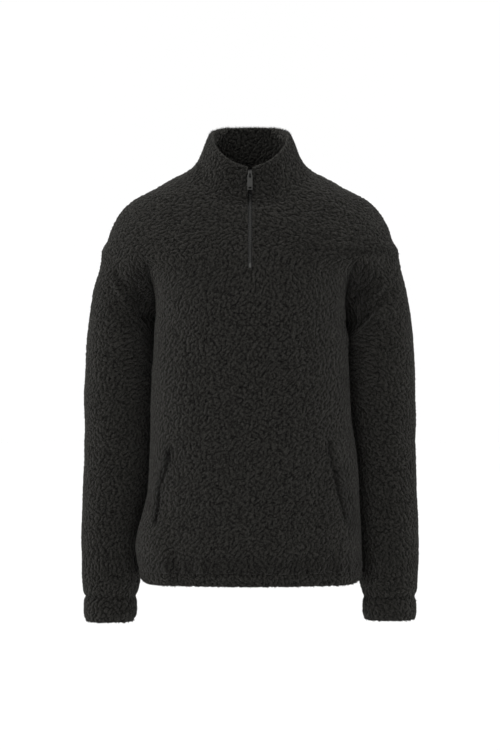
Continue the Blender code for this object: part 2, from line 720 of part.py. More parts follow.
def hem_band():
    """The casing under the body, a closed ring of the panels' own columns."""
    half = even_turns(np.linspace(0, 1, FRONT_HALF_COLUMNS + 1)[1:])
    back = even_turns(np.linspace(0, 1, BACK_COLUMNS // 2 + 1))
    front = np.concatenate([-half[::-1], [0.0], half])
    behind = np.concatenate([back[::-1], -back[1:]])[1:-1]
    outer, out = [], []
    for level in HEM_LEVELS:
        halves = ((front, -1), (behind, 1))
        ring = [body_point(turns, np.full(len(turns), level), face) for turns, face in halves]
        outer.append(np.concatenate(ring))
        out.append(unit(body_out(outer[-1]) * np.array([1, 1, 0])))
    outer, out = np.array(outer), np.array(out)
    inner = outer - out * WALL
    outer[-1] -= out[-1] * HEM_ROLL / 2
    inner[-1] += out[-1] * HEM_ROLL / 2
    add_wall("hem_band", outer, inner, CLOTH, wrap=True)


def pocket_welt(name, table, panel_object):
    """A slanted welt laid on the front, its inner edge along the table's line."""
    mesh = panel_object.data
    cloth = BVHTree.FromPolygons([v.co for v in mesh.vertices], [p.vertices for p in mesh.polygons])
    z = np.linspace(table[0].z, table[-1].z, WELT_ROWS)
    upwards = table[::-1]
    line, wide = column(upwards, "x", z), column(upwards, "wide", z)
    across = np.linspace(0, 1, len(WELT_PROFILE))
    x = line[:, None] + np.sign(line[0]) * wide[:, None] * across
    base = body_on(x, z[:, None], -1)
    out = body_out(base)
    for at in np.ndindex(x.shape):
        start = Vector((base[at] + out[at] * WALL) * MM)
        base[at] = np.array(cloth.ray_cast(start, Vector(-out[at]))[0]) / MM
    inner = base + out * LAID_ON
    outer = inner + out * np.array(WELT_PROFILE)[:, None]
    add_wall(name, outer, inner, CLOTH)


# ---------------------------------------------------------------- zip


def slit_edge(loops):
    """The collar's outside at the slit, from its rolled edge down to the neck seam."""
    return loops[0, len(COLLAR_RISE) :: -1]


def zip_line(loops, deep, heights):
    """Points down the zip at the slit, `deep` under the face of the cloth, and directions in."""
    below = body_point(np.zeros(len(heights)), heights, -1)
    line = np.concatenate([slit_edge(loops), below]) * np.array([0, 1, 1])
    along = unit(np.gradient(line, axis=0))
    inward = np.stack([0 * along[:, 0], -along[:, 2], along[:, 1]], -1)
    inward *= np.sign(inward[:, 1:2])
    return line + inward * deep, inward


def zip_bar(name, line, inward, low, high, deep, look):
    """A flat bar along the zip: from low to high across it, and deep inwards from the line."""
    outline = ((low, 0.0), (high, 0.0), (high, deep), (low, deep))
    loops = [[p + (x, 0, 0) + towards * d for x, d in outline] for p, towards in zip(line, inward)]
    return add_loft(name, np.array(loops), look)


def build_zip(loops):
    below = np.linspace(NECK_FRONT - ZIP_NECK, ZIP_END + ZIP_FOOT, ZIP_STEPS)
    line, inward = zip_line(loops, CHAIN_SUNK, below)
    line[0] += unit(line[1] - line[0]) * CHAIN_START
    zip_bar("zip_chain", line, inward, -CHAIN_HALF, CHAIN_HALF, CHAIN_DEEP, ZIP_METAL)

    levels = np.append(below, ZIP_END - TAPE_TAIL)
    behind, towards = (v[-ZIP_STEPS:] for v in zip_line(loops, WALL + LAID_ON, levels))
    for side, word in ((1, "left"), (-1, "right")):
        low, high = sorted((side * SEAM_GAP / 2, side * (TAPE_HALF - SEAM_GAP / 2)))
        zip_bar(f"zip_tape_{word}", behind, towards, low, high, TAPE_WALL, ZIP_TAPE)

    foot = line[-1] - inward[-1] * SEAM_GAP
    stop = foot + np.outer((STOP_LONG, 0.0), (0, 0, 1))
    outwards = -inward[[-1, -1]]
    zip_bar("zip_bottom_stop", stop, outwards, -STOP_HALF, STOP_HALF, STOP_DEEP, ZIP_METAL)


def slider_frame(loops):
    """Where the pull tab hinges: the matrix of the slider's axes, across, down and out."""
    face = slit_edge(loops)
    top, foot = face[0], face[-2]
    down = unit(foot - top)
    out = unit(np.array([0.0, down[2], -down[1]]))
    out *= -np.sign(out[1])
    hinge = np.array([0.0, top[1], top[2]]) + down * HINGE_DOWN + out * HINGE_OUT
    across = np.cross(down, out)
    matrix = Matrix.Identity(4)
    for i, axis in enumerate((across, down, out)):
        matrix.col[i][:3] = axis
    matrix.col[3][:3] = Vector(hinge * MM)
    return matrix


def box_object(name, place, wide, down, out, collection=COLLECTION):
    """A box in the slider's axes, in millimetres: wide across, and from low to high down and out."""
    size = Vector((wide, down[1] - down[0], out[1] - out[0])) * MM
    middle = Vector((0.0, sum(down) / 2, sum(out) / 2)) * MM
    shape = bmesh.new()
    bmesh.ops.create_cube(shape, size=1.0, matrix=Matrix.LocRotScale(middle, None, size))
    mesh = bpy.data.meshes.new(name)
    shape.to_mesh(mesh)
    shape.free()
    mesh.materials.append(material(*ZIP_METAL))
    made = bpy.data.objects.new(name, mesh)
    made.matrix_world = place
    bpy.data.collections[collection].objects.link(made)
    return made


def round_edges(target, width):
    bevel = target.modifiers.new("rounded", "BEVEL")
    bevel.width = width * MM
    bevel.segments = 2


def combine(target, other, operation):
    other.hide_render = True
    other.display_type = "WIRE"
    cut = target.modifiers.new(other.name, "BOOLEAN")
    cut.operation = operation
    cut.object = other


def zip_slider(place):
    face = SLIDER_LIFT - HINGE_OUT
    top = face + SLIDER_THICK
    slider = box_object("zip_slider", place, SLIDER_WIDE, (-SLIDER_ABOVE, SLIDER_BELOW), (face, top))
    round_edges(slider, SLIDER_BEVEL)
    reach, eye = (-BAIL_HALF, BAIL_HALF), BAIL_HALF - BAIL_WIRE
    bail = box_object("bail", place, BAIL_WIDE, reach, (top - BAIL_SUNK, BAIL_RISE), CUTTERS)
    hole = (-BAIL_FLOOR, BAIL_RISE - BAIL_WIRE)
    cutter = box_object("bail_eye", place, 2 * BAIL_WIDE, (-eye, eye), hole, CUTTERS)
    combine(slider, bail, "UNION")
    combine(slider, cutter, "DIFFERENCE")


def zip_pull_tab(place):
    half, through = TAB_THICK / 2, (-TAB_THICK, TAB_THICK)
    tab = box_object("zip_pull_tab", place, TAB_WIDE, (-TAB_BAR, TAB_LONG - TAB_BAR), (-half, half))
    round_edges(tab, TAB_BEVEL)
    slot = (TAB_SLOT_MIDDLE - TAB_SLOT_LONG / 2, TAB_SLOT_MIDDLE + TAB_SLOT_LONG / 2)
    for name, wide, down in (
        ("tab_window", TAB_WINDOW_WIDE, (TAB_BAR, TAB_WINDOW_END)),
        ("tab_slot", TAB_SLOT_WIDE, slot),
    ):
        cutter = box_object(name, place, wide, down, through, CUTTERS)
        combine(tab, cutter, "DIFFERENCE")


# ---------------------------------------------------------------- scene


def clear_scene():
    for old in list(bpy.data.objects):
        bpy.data.objects.remove(old, do_unlink=True)
    for name in (COLLECTION, CUTTERS):
        bpy.context.scene.collection.children.link(bpy.data.collections.new(name))


def main():
    clear_scene()
    loops = build_cloth()
    hem_band()
    build_zip(loops)
    place = slider_frame(loops)
    zip_slider(place)
    zip_pull_tab(place)


main()
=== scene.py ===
"""The looks of a sherpa fleece pullover with a quarter zip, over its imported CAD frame.

Metres, +Z up, front facing -Y; left is the wearer's left, +X. Tables and sizes are in millimetres.
"""

from collections import namedtuple
from math import pi, radians

import bmesh
import bpy
import numpy as np
from mathutils import Matrix, Vector


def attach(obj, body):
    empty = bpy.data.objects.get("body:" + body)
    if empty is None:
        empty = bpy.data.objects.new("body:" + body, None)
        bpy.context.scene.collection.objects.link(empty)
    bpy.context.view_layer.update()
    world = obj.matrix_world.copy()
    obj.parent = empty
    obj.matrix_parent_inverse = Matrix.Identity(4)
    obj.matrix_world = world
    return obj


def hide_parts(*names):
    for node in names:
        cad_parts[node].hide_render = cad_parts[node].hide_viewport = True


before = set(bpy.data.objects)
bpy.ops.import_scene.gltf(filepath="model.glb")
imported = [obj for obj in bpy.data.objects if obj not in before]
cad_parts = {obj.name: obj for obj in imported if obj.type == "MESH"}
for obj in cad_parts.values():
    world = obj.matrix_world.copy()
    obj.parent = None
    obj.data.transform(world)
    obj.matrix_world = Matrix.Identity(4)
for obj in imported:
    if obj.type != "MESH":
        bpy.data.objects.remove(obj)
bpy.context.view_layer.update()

MM = 0.001


def listed(kind, *rows):
    """A table of rows with named columns."""
    return [kind(*row) for row in rows]


# ---- sizes of the garment

WALL = 4.5
COLLAR_WALL = 9.0
SHOULDER_TIP = -142.0
UNDERARM = -223.0
HEM_SEAM, HEM_EDGE = -674.0, -694.5
CUFF_SEAM, CUFF_EDGE = -721.0, -759.0
RIGHT_CUFF_LOWER = 3.0
NECK_FRONT, NECK_BACK = -71.0, -3.0
SLIT_HALF, ZIP_END = 3.6, -172.0
WAIST = -400.0

# The pile
PILE_HIGH = 2.3  # from a groove to the top of a curl
PILE_SUNK, BAND_SUNK = 1.6, 1.3  # the grooves' depth under the cloth's own surface
# Two sizes of curls, the smaller in the larger: from one curl to the next, how far a curl runs, the
# cell of the lattice that holds it and how widely its directions spread
Curl = namedtuple("Curl", "wide reach cell spread")
LARGE = Curl(7.2, 3.0, 5.2, radians(145.0))
SMALL = Curl(4.6, 2.1, 3.6, radians(160.0))
SMALL_DEEP = 0.55
CURL_ROUND = 0.8  # less than 1 makes the curls rounder and the grooves narrower
CURL_LEAST, CURL_MORE = 0.75, 0.6  # a curl's smallest share of its width, and how much it may add
CALM_HIGH, CALM_SIZE = 0.3, 0.5  # by these the pile is lower where the waves nearly cancel out
SEAM_DITCH, SEAM_FLAT, SEAM_WIDE = 0.3, 0.35, 3.5
SLIT_EDGE = 2.0  # added to the distance from the edges by the zip and round the welts: a shallower ditch
TUCK_REACH, TUCK_DEEP = 4.0, 3.0
TUCKED = 0.1, 0.6  # the pile's height and the painted shade of cloth that is out of sight
BLEND = 14.0  # how far past its seam a sleeve or the collar turns from the body's surface to its own
INNER_TONE = 0.45
HEM_CORNER, CORNER_TIGHT = 9.0, 20  # how far the hem's edge rises at the sides, and how late

# The loose fibres, and the share of a place's points that have one
FIBRE_LONG, FIBRE_WIDE, TUFT_WIDE, RIM_FIBRE = 3.2, 0.35, 1.4, 5.6
FIBRE_SHORTEST, FIBRE_SPREAD, FIBRE_TONE, FIBRE_SEED = 0.5, 0.75, 0.9, 7
PLAIN_FUZZ, TOP_FUZZ = 0.06, 0.08
BAND_FUZZ, BAND_EDGE_FUZZ, TUFT_FUZZ = 0.15, 0.5, 0.3
COLLAR_FUZZ, COLLAR_EDGE_FUZZ, BACK_RIM_FUZZ = 0.1, 0.4, 0.8

# How far apart the points of the pieces lie
ROUGH = 1.0
FINE, BACK_FINE, ARM_FINE, COLLAR_FINE, BAND_FINE = (v * ROUGH for v in (1.9, 2.0, 1.65, 1.4, 1.5))
INSIDE = 4  # the inside has every fourth row and column
BAND_ROLL = 2.25  # the radius of a band's turned edge
# The lengths along the cloth that set how many points there are: half a panel, half an armhole, round a
# sleeve and down it, half a cuff, half the hem's front, a quarter of the collar and up it
PANEL_HALF, ARM_PATH, SLEEVE_GIRTH, SLEEVE_LONG = 215.0, 150.0, 330.0, 560.0
CUFF_HALF, HEM_HALF, COLLAR_QUARTER, COLLAR_TALL = 125.0, 245.0, 150.0, 92.0
COLUMN_POINTS, CURVE_POINTS = 14, 400  # by which a length along the cloth is measured
FAR_AWAY = 1000.0  # for the back, which has no slit and no pockets

# Where something is in force: it rises from nothing at low and is back to nothing at high, over these
# lengths
Span = namedtuple("Span", "low rise high fall")

# The gathers above the hem, by their height over its seam: their depth, their painted shade and how far
# the curls line up with them
GATHER_DEEP, GATHER_DARK, GATHER_ORDER = 1.5, 0.22, 0.4
GATHERED = Span(0.0, 3.0, 37.0, 34.0)
GATHER_SHADED = Span(0.0, 6.0, 34.0, 20.0)
GATHER_COMBED = Span(-8.0, 8.0, 38.0, 22.0)
GATHER_ROUND = 0.4  # how far they go on round the body's sides

# The creases of an underarm: where they meet, how far their strands reach up, down, out and back from
# there, and how far the curls line up along them
UNDERARM_X, UNDERARM_Z = 166.0, -285.0
FAN_TALL, FAN_WIDE, FAN_BACK = Span(-420.0, 90.0, -145.0, 30.0), Span(-4.0, 8.0, 55.0, 30.0), 20.0
FAN_ORDER, FAN_LEAST, FAN_OFFSET = 0.75, 0.2, 6.0
# The way across the curls in degrees from upright, how much it leans at the shoulders, from what height
# up and over how much, and how much less the curls line up there
BODY_LEAN, SHOULDER_LEAN, SHOULDERS_LOW, SHOULDERS_TALL = 88.0, 50.0, -190.0, 130.0
SHOULDER_LOOSE = 0.3

# Painted light and shade in the cloth's colour, as shares of its tone, each with the height or place where
# it starts and the length over which it grows
WEDGE_DARK, WEDGE_LOW, WEDGE_TALL = 0.27, -240.0, 45.0
SIDE_BRIGHT, SIDE_FROM, SIDE_OVER, SIDE_TALL = 0.3, 142.0, 12.0, Span(-270.0, 25.0, -165.0, 20.0)
TOP_BRIGHT, TOP_LOW, TOP_TALL = 0.06, -120.0, 60.0
VALLEY_DARK, VALLEY_TALL, VALLEY_SHARP = 0.6, Span(-690.0, 12.0, -163.0, 40.0), 1.4
VALLEY_REACH, VALLEY_WIDER, VALLEY_LOW, VALLEY_OVER = 12.0, 18.0, -350.0, 110.0
LOW_LIGHTER, LOW_FROM, LOW_OVER = 0.3, -470.0, 60.0
CHIN_DARK, CHIN_HALF, CHIN_FADE, CHIN_FRONT = 0.2, 75.0, 40.0, -30.0

# The collar's painted shade inside and painted highlight on its rim, in rows past the last one of its
# outside
COLLAR_INSIDE, INSIDE_ROW = 0.8, 4
COLLAR_RIM, RIM_ROW, RIM_ROWS = 1.75, 3, 2.5
RIM_LATER, BACK_FROM, BACK_OVER = 4, -20.0, 40.0  # at the back the rim shows from further in
RIM_FLAT, FLAT_ROW, FLAT_ROWS = 0.45, 4, 6.0
FUZZ_ROWS, BACK_OF_RIM = (-2, 10), 5.0  # the rows with more fibres, and where the longest ones start
CORNER_LIGHT, CORNER_AT, CORNER_SLOPE, CORNER_OVER = 2.2, 101.0, 0.9, 6.0  # painted light inside, by its top corners

# How far the sleeves' pile reaches over to the body, at most how many times that, and from how near
SNUG, SNUG_MOST, SNUG_WIDE = 2.4, 2.2, 8.0
SLACK = 0.5
SLEEVE_ENDS = 14.0  # a sleeve's folds fade out above the cuff, over one part in this many

# The cloth's material, whose colour runs from the grooves' to the tips' by the pile's height: painted
# shade in the grooves
PILE_GROOVE, PILE_TIP = (0.0018, 0.0018, 0.0016), (0.0362, 0.0352, 0.0317)
GROOVE_AT, TIP_AT = 0.25, 0.92
CURL_NOISE, BUMP_HIGH = 0.5, 0.0022
SPECKLES = ((280.0, 0.5), (480.0, 0.9))  # cells to a metre, and their share
SPECKLE_BASE, SPECKLE_RANGE = -0.2, (0.3, 0.7)
SPECKLE_FORM = {"Detail": 2.0, "Roughness": 0.6, "Distortion": 0.8}
SHEEN, SHEEN_ROUGH, SHEEN_TINT = 0.13, 0.4, (0.9, 0.88, 0.84, 1)
PILE_ROUGH, PILE_SPECULAR = 0.95, 0.04

# The stage, in metres and watts
CAMERA_AWAY, CAMERA_HIGH, CAMERA_LENS = 4.0, -0.3465, 113.6
FLOOR_HIGH, FLOOR_HALF, FLOOR_COLOUR, FLOOR_ROUGH = -1.6, 40.0, (0.97, 0.97, 0.97), 0.9
KEY_POWER, KEY_SIZE, KEY_PLACE = 45.0, 1.4, (-1.5, -2.4, 1.9)
# The surroundings' light from the front, how far back it is full, and how much more there is aside
FRONT_LIGHT, FRONT_EDGE, SIDE_LIGHT = 0.42, -0.9, 0.75

# The zip's teeth and the tape beside them
CHAIN_SUNK, COLLAR_DEEPER = 1.2, 4.2  # under the face of the cloth, and how much more in the collar
DEEPER_FROM, DEEPER_OVER = 6.0, 12.0  # above the neck seam
TOOTH_WIDE, TOOTH_LONG, TOOTH_DEEP, TOOTH_ASIDE, TOOTH_BEVEL = 2.9, 1.15, 1.6, 1.05, 0.3
TOOTH_PITCH, TOOTH_START = 3.2, 4.0
# Above this height the teeth are black: a painted shadow between the collar's edges
BLACK_ABOVE = -48.0
ZIP_POINTS, ZIP_NECK, ZIP_FOOT = 90, 2.0, 1.5  # below the neck seam, from it, and above the slit's end
STRIP_NEAR, STRIP_SUNK, STRIP_WALL = 0.1, 0.9, 1.0
ZIP_LEAN_OUT, BAIL_TALL = (0.992, 0.129), 3.9  # the way out of the collar's front, and the bail's rise

Slice = namedtuple("Slice", "z left right front back square")
BODY = listed(
    Slice,
    (-694, 184, 182, 119, 113, 2.9),
    (-677, 189, 187, 122, 116, 2.8),
    (-659, 189, 190.5, 124, 118, 2.7),
    (-635, 188, 192.3, 125, 118, 2.6),
    (-612, 187, 190, 124, 117, 2.5),
    (-583, 185.9, 182.5, 123, 115, 2.5),
    (-541, 184, 172.8, 122, 113, 2.5),
    (-480, 180, 169.3, 121, 111, 2.5),
    (-422, 171.5, 167.5, 122, 111, 2.5),
    (-338, 167, 165.6, 126, 115, 2.55),
    (-253, 163.5, 162.2, 129, 120, 2.6),
    (-223, 162, 160, 129, 122, 2.6),
    (-205, 165, 164.5, 128.4, 123, 2.5),
    (-185, 176, 176, 127.3, 124, 2.4),
    (-166, 205, 205, 125.6, 124.3, 2.2),
    (-154, 236, 236, 124.2, 124.2, 2.1),
    (-147, 248.5, 248.5, 123.2, 124, 2.05),
    (-142, 250.5, 250.5, 122.4, 123.6, 2.02),
    (-118, 240, 240, 117.6, 120.8, 2),
    (-101, 234.9, 234.9, 113.2, 117, 2),
    (-84.5, 226.5, 226.5, 107.8, 111.6, 2),
    (-67.6, 214.6, 214.6, 101, 104.4, 2),
    (-50.7, 196, 196, 93, 95, 2),
    (-33.8, 163.9, 163.9, 87, 86, 2),
    (-16.9, 133.5, 133.5, 82, 77, 2),
    (-3, 106.5, 106.5, 78, 70, 2),
    (2, 100, 100, 76, 66, 2),
)
CHEST_HALF, CHEST_FADE, CHEST_SLOW = 70.0, 85.0, 0.42

Armhole = namedtuple("Armhole", "angle z out centre")
ARMHOLE = listed(
    Armhole,
    (0, SHOULDER_TIP, 1, -106),
    (45, -145.5, 0.944, -121),
    (70, -146.5, 0.892, -130),
    (90, -147, 0.829, -138),
    (110, -149, 0.772, -146),
    (125, -154, 0.763, -158),
    (140, -166, 0.834, -178),
    (155, -185, 0.943, -197),
    (168, -205, 0.988, -211),
    (180, UNDERARM, 1, UNDERARM),
)
ROW_BEND = 1.7  # how late a panel's rows bend to the armhole's height

Arm = namedtuple("Arm", "z out in_left in_right middle deep")
# Up to 1 mm wider than the solids between the elbow and the underarm
SLEEVE = listed(
    Arm,
    (-759, 277, 196, 197, 4, 38),
    (-754, 279.8, 192.5, 193.5, 4.5, 40.5),
    (-744, 281, 190.8, 191.3, 5, 42),
    (-727, 280.5, 191.5, 192, 7, 42),
    (-721, 279, 192.5, 193, 8, 41.5),
    (-710, 282.3, 189.5, 189.5, 9, 45),
    (-693, 283.8, 186, 186, 11, 47),
    (-676, 284.6, 189.9, 187.9, 14, 48),
    (-655, 285.4, 189.6, 191.8, 17, 49),
    (-625, 286, 188.2, 192.8, 20, 50),
    (-583, 285.3, 186.2, 184.2, 24, 52),
    (-541, 284, 183.4, 172.4, 28, 54),
    (-473, 282.2, 178.2, 168, 31, 57),
    (-389, 282, 168.4, 165.6, 30, 61),
    (-321, 279, 165.7, 164.4, 26, 65),
    (-287, 276.9, 165.2, 164, 22, 67),
    (-253, 273.3, 164.9, 163.5, 17, 69),
    (-220, 267.4, 163.2, 161.4, 11, 70),
    (-203, 264.4, 163.5, 161.8, 8, 70),
    (-186, 260, 163, 161.5, 5, 70),
    (-169, 255, 162.5, 161.3, 3, 70),
    (-152, 251.6, 162, 161, 2, 70),
    (-142, 250.5, 161.5, 161, 2, 70),
)
SLEEVE_SQUARE, EASE_IN = 2.2, 70.0

Rim = namedtuple("Rim", "angle x y z")
# Its sides are 1 mm narrower than the solid's, and its back's corners 3.5 mm
COLLAR_TOP = listed(
    Rim,
    (0, SLIT_HALF, -84, -2),
    (20, 30, -80, 9),
    (45, 51, -61, 28),
    (65, 60, -37, 46),
    (90, 62.5, -6, 60.5),
    (120, 54.5, 26, 70.5),
    (150, 36, 47, 76.5),
    (180, 0, 54, 77.5),
)
# How far the collar is hollowed a third of the way up, what makes the peak of that curve 1, and the
# share of its height by which it is fully thick
COLLAR_HOLLOW, HOLLOW_PEAK, COLLAR_THICK_BY = 5.0, 6.75, 0.4

Welt = namedtuple("Welt", "x z wide")
WELTS = {
    "pocket_welt_right": listed(
        Welt,
        (-131, -464, 18),
        (-134.5, -487, 17.5),
        (-141, -510, 16),
        (-149.5, -537, 14),
        (-153, -570, 12),
        (-158, -598, 8),
    ),
    "pocket_welt_left": listed(
        Welt,
        (128, -450, 22),
        (134, -487, 21),
        (141, -520, 19),
        (149, -556, 16),
        (159, -590, 9),
    ),
}

# Soft troughs in the cloth, or ridges where deep is negative: a line on the front (-1) or the
# back (1), its width and its depth
Fold = namedtuple("Fold", "face x1 z1 x2 z2 wide deep")
FOLDS = listed(
    Fold,
    (-1, -222, -178, -174, -246, 12, 6),
    (-1, -240, -208, -192, -262, 12, 3.5),
    (-1, -172, -250, -168, -320, 11, 3.5),
    (-1, 226, -178, 198, -204, 11, 4),
    (-1, 234, -208, 172, -262, 12, 6.5),
    (-1, 216, -252, 174, -286, 10, -2.5),
    (-1, 248, -254, 196, -306, 14, 3),
    (1, -228, -185, -186, -230, 13, 5.5),
    (1, 230, -190, 190, -236, 13, 5.5),
    (1, -245, -250, -195, -285, 15, 4),
    (1, 246, -262, 198, -300, 15, 4),
    (-1, -262, -470, -205, -492, 16, 3),
    (-1, 258, -500, 210, -515, 16, 3),
    (1, -262, -440, -205, -455, 15, 4),
    (1, 262, -455, 205, -475, 15, 4),
    (1, -262, -490, -210, -478, 15, 3.5),
    (1, 262, -505, 210, -495, 15, 3.5),
)
# Shallower ones, which only the looks have
SOFT_FOLDS = listed(
    Fold,
    (-1, -160, -235, -95, -300, 16, 1.6),
    (-1, 158, -240, 92, -312, 17, 1.6),
    (-1, -150, -566, -60, -590, 14, 1.2),
    (-1, 140, -606, 42, -574, 16, 1.2),
    (-1, -226, -174, -168, -264, 4, 2.4),
    (-1, -232, -183, -170, -276, 4, -1.4),
    (-1, -238, -194, -170, -290, 4, 2.2),
    (-1, -208, -166, -172, -228, 4, 1.8),
    (-1, 174, -258, 189, -165, 4, 1.8),
    (-1, 181, -266, 206, -180, 4, 1.8),
    (-1, 188, -262, 226, -206, 4, 1.8),
    (-1, 172, -280, 196, -249, 5, 2.8),
    (-1, 196, -249, 222, -232, 5, 2.8),
    (-1, 222, -232, 256, -228, 5, 2.2),
    (-1, 190, -262, 220, -243, 4, -1.4),
    (-1, 220, -243, 250, -238, 4, -1.2),
    (-1, 196, -270, 228, -252, 4, 1.4),
    (-1, -206, -690, -268, -676, 9, 2.2),
    (-1, 208, -684, 262, -698, 9, 2.2),
    (-1, -258, -400, -190, -430, 17, 1.6),
    (-1, 262, -380, 196, -412, 17, 1.6),
    (1, -155, -240, -80, -320, 18, 2.2),
    (1, 150, -235, 85, -305, 18, 2.2),
    (1, -120, -560, -20, -600, 16, 1.6),
    (1, 130, -585, 30, -560, 16, 1.6),
    (1, -210, -694, -262, -680, 9, 2.2),
    (1, 212, -680, 266, -692, 9, 2.2),
)
FOLD_ROUND = 50.0  # the depth over which a fold fades out round the side
CREASE_DEEP, CREASE_WIDE, CREASE_BEHIND = 1.2, 4.5, 2.5  # the groove along a pocket's mouth
CREASE_PAST, CREASE_FADE = 4.0, 14.0  # how far it runs past the mouth's ends, and fades there
# The painted shade of a pocket: how dark its mouth is and how widely on its two sides, and how dark the
# cloth beyond it is, how far out and at which heights
Shade = namedtuple("Shade", "mouth before behind beyond out tall")
POCKET_SHADES = {
    "pocket_welt_right": Shade(
        0.58, 5.0, 8.0, 0.15, Span(-2.0, 4.0, 20.0, 10.0), Span(-530.0, 25.0, -440.0, 15.0)
    ),
    "pocket_welt_left": Shade(
        0.3, 4.5, 4.0, 0.36, Span(-2.0, 4.0, 32.0, 16.0), Span(-615.0, 25.0, -490.0, 15.0)
    ),
}
# A welt's height over the cloth, by the share of its width from the pocket's mouth
WELT_RISE = ((0.0, -1.0), (0.22, 1.4), (0.45, 2.0), (0.75, 1.5), (1.0, -1.0))
WELT_POINTS, WELT_SPACING = 13, 1.6  # across it
WELT_END_ROWS, WELT_BACK = 6.0, 3.0  # how gently its ends rise, and how deep its back lies
# Painted light, where the front is lighter: the middle of each place, how wide and tall it is and how much
# lighter
Glow = namedtuple("Glow", "x z wide tall more")
GLOWS = listed(
    Glow,
    (152, -122, 33, 33, 0.17),
    (-152, -122, 33, 33, 0.17),
    (-137, -603, 13, 42, 0.22),
)


# ---- curves and slices


def smooth(knots, values, at):
    """Values at `at` of a smooth curve through the knots, which never overshoots them."""
    knots, values, at = (np.asarray(v, float) for v in (knots, values, at))
    step = np.diff(knots)
    rise = np.diff(values) / step
    slope = np.concatenate([rise[:1], np.zeros(len(knots) - 2), rise[-1:]])
    before, after = 2 * step[1:] + step[:-1], step[1:] + 2 * step[:-1]
    turns = rise[:-1] * rise[1:] <= 0
    safe = np.where(turns, 1.0, rise[:-1]), np.where(turns, 1.0, rise[1:])
    slope[1:-1] = np.where(turns, 0.0, (before + after) / (before / safe[0] + after / safe[1]))
    i = np.clip(np.searchsorted(knots, at) - 1, 0, len(step) - 1)
    t = np.clip((at - knots[i]) / step[i], 0.0, 1.0)
    rest = 1 - t
    return (
        values[i] * (1 + 2 * t) * rest**2
        + values[i + 1] * (3 - 2 * t) * t**2
        + step[i] * (slope[i] * t * rest**2 - slope[i + 1] * rest * t**2)
    )


def column(table, name, at, key="z"):
    return smooth([getattr(r, key) for r in table], [getattr(r, name) for r in table], at)


def ease(t):
    t = np.clip(t, 0.0, 1.0)
    return t * t * (3 - 2 * t)


def window(v, span):
    """From 0 outside a span to 1 well inside it."""
    return ease((v - span.low) / span.rise) * ease((span.high - v) / span.fall)


def steps_in(length, spacing, multiple=1):
    """How many steps of about this spacing a length takes, as a multiple of a whole number."""
    return int(round(length / spacing / multiple)) * multiple


def unit(v):
    return v / np.maximum(np.linalg.norm(v, axis=-1, keepdims=True), 1e-9)


def body_slice(x, z):
    """Half width, half depth to the front and to the back, and squareness of the body at x and z.
    The drop shoulders run out quickly beside the armhole and slowly over the chest and back."""
    middle = 1 - ease((np.abs(x) - CHEST_HALF) / CHEST_FADE)
    slower = 1 - (1 - CHEST_SLOW) * middle
    level = np.where(z < SHOULDER_TIP, SHOULDER_TIP + (z - SHOULDER_TIP) * slower, z)
    level = np.maximum(level, np.minimum(z, UNDERARM))
    half = np.where(x > 0, column(BODY, "left", level), column(BODY, "right", level))
    return half, column(BODY, "front", z), column(BODY, "back", z), column(BODY, "square", level)


def body_on(x, z, face):
    """The point of the body's outside at x and z."""
    x, z = np.broadcast_arrays(x, z)
    half, front, back, square = body_slice(x, z)
    share = np.clip(np.abs(x) / half, 0, 1)
    y = (back if face > 0 else -front) * (1 - share**square) ** (1 / square)
    return np.stack(np.broadcast_arrays(x, y, z), -1)


def body_point(turn, z, face):
    """A point of the body's outside. turn is -1 at the right side, 0 at the centre, 1 at the left."""
    side = np.where(turn > 0, column(BODY, "left", z), column(BODY, "right", z))
    out = np.maximum(np.sin(np.abs(turn) * pi / 2), 0) ** (2 / column(BODY, "square", z))
    return body_on(np.sign(turn) * side * out, z, face)


def body_level(p):
    half, front, back, square = body_slice(p[..., 0], p[..., 2])
    deep = np.abs(p[..., 1]) / np.where(p[..., 1] > 0, back, front)
    return (np.abs(p[..., 0]) / half) ** square + deep**square


def body_out(p):
    """The direction straight out of the body's outside at p."""
    reach = np.eye(3) * 0.5
    steep = [body_level(p + reach[i]) - body_level(p - reach[i]) for i in range(3)]
    return unit(np.stack(steep, -1))


def turn_of(out, z):
    """The turn at which a slice has reached this share of its half width."""
    return np.arcsin(np.clip(out, 0, 1) ** (column(BODY, "square", z) / 2)) / (pi / 2)


def even_turns(share):
    """Turns that are evenly spaced along the cloth of the waist, for shares from 0 to 1."""
    fine = np.linspace(0, 1, CURVE_POINTS)
    points = body_point(fine, np.full_like(fine, WAIST), -1)
    along = np.concatenate([[0], np.cumsum(np.linalg.norm(np.diff(points, axis=0), axis=1))])
    return np.interp(share, along / along[-1], fine)


# ---- folds


def to_line(px, pz, f):
    dx, dz = f.x2 - f.x1, f.z2 - f.z1
    t = np.clip(((px - f.x1) * dx + (pz - f.z1) * dz) / (dx * dx + dz * dz), 0, 1)
    return np.hypot(px - f.x1 - t * dx, pz - f.z1 - t * dz)


def fold_depth(p):
    """How far the troughs pull the cloth in at p."""
    total = np.zeros(p.shape[:-1])
    for f in FOLDS + SOFT_FOLDS:
        away = to_line(p[..., 0], p[..., 2], f)
        facing = np.clip(0.5 + f.face * p[..., 1] / FOLD_ROUND, 0, 1)
        total += f.deep * facing * np.exp(-((away / f.wide) ** 2))
    return total


def gather_depth(p):
    """The small gathers that the hem band draws up. The waves' lengths are uneven, so none repeats."""
    x = p[..., 0] + GATHER_ROUND * p[..., 1]
    wave = np.sin(x / 5.1 + 1.7 * np.sin(x / 23.0)) + 0.6 * np.sin(x / 9.7 + 2.0)
    return GATHER_DEEP * window(p[..., 2] - HEM_SEAM, GATHERED) * wave


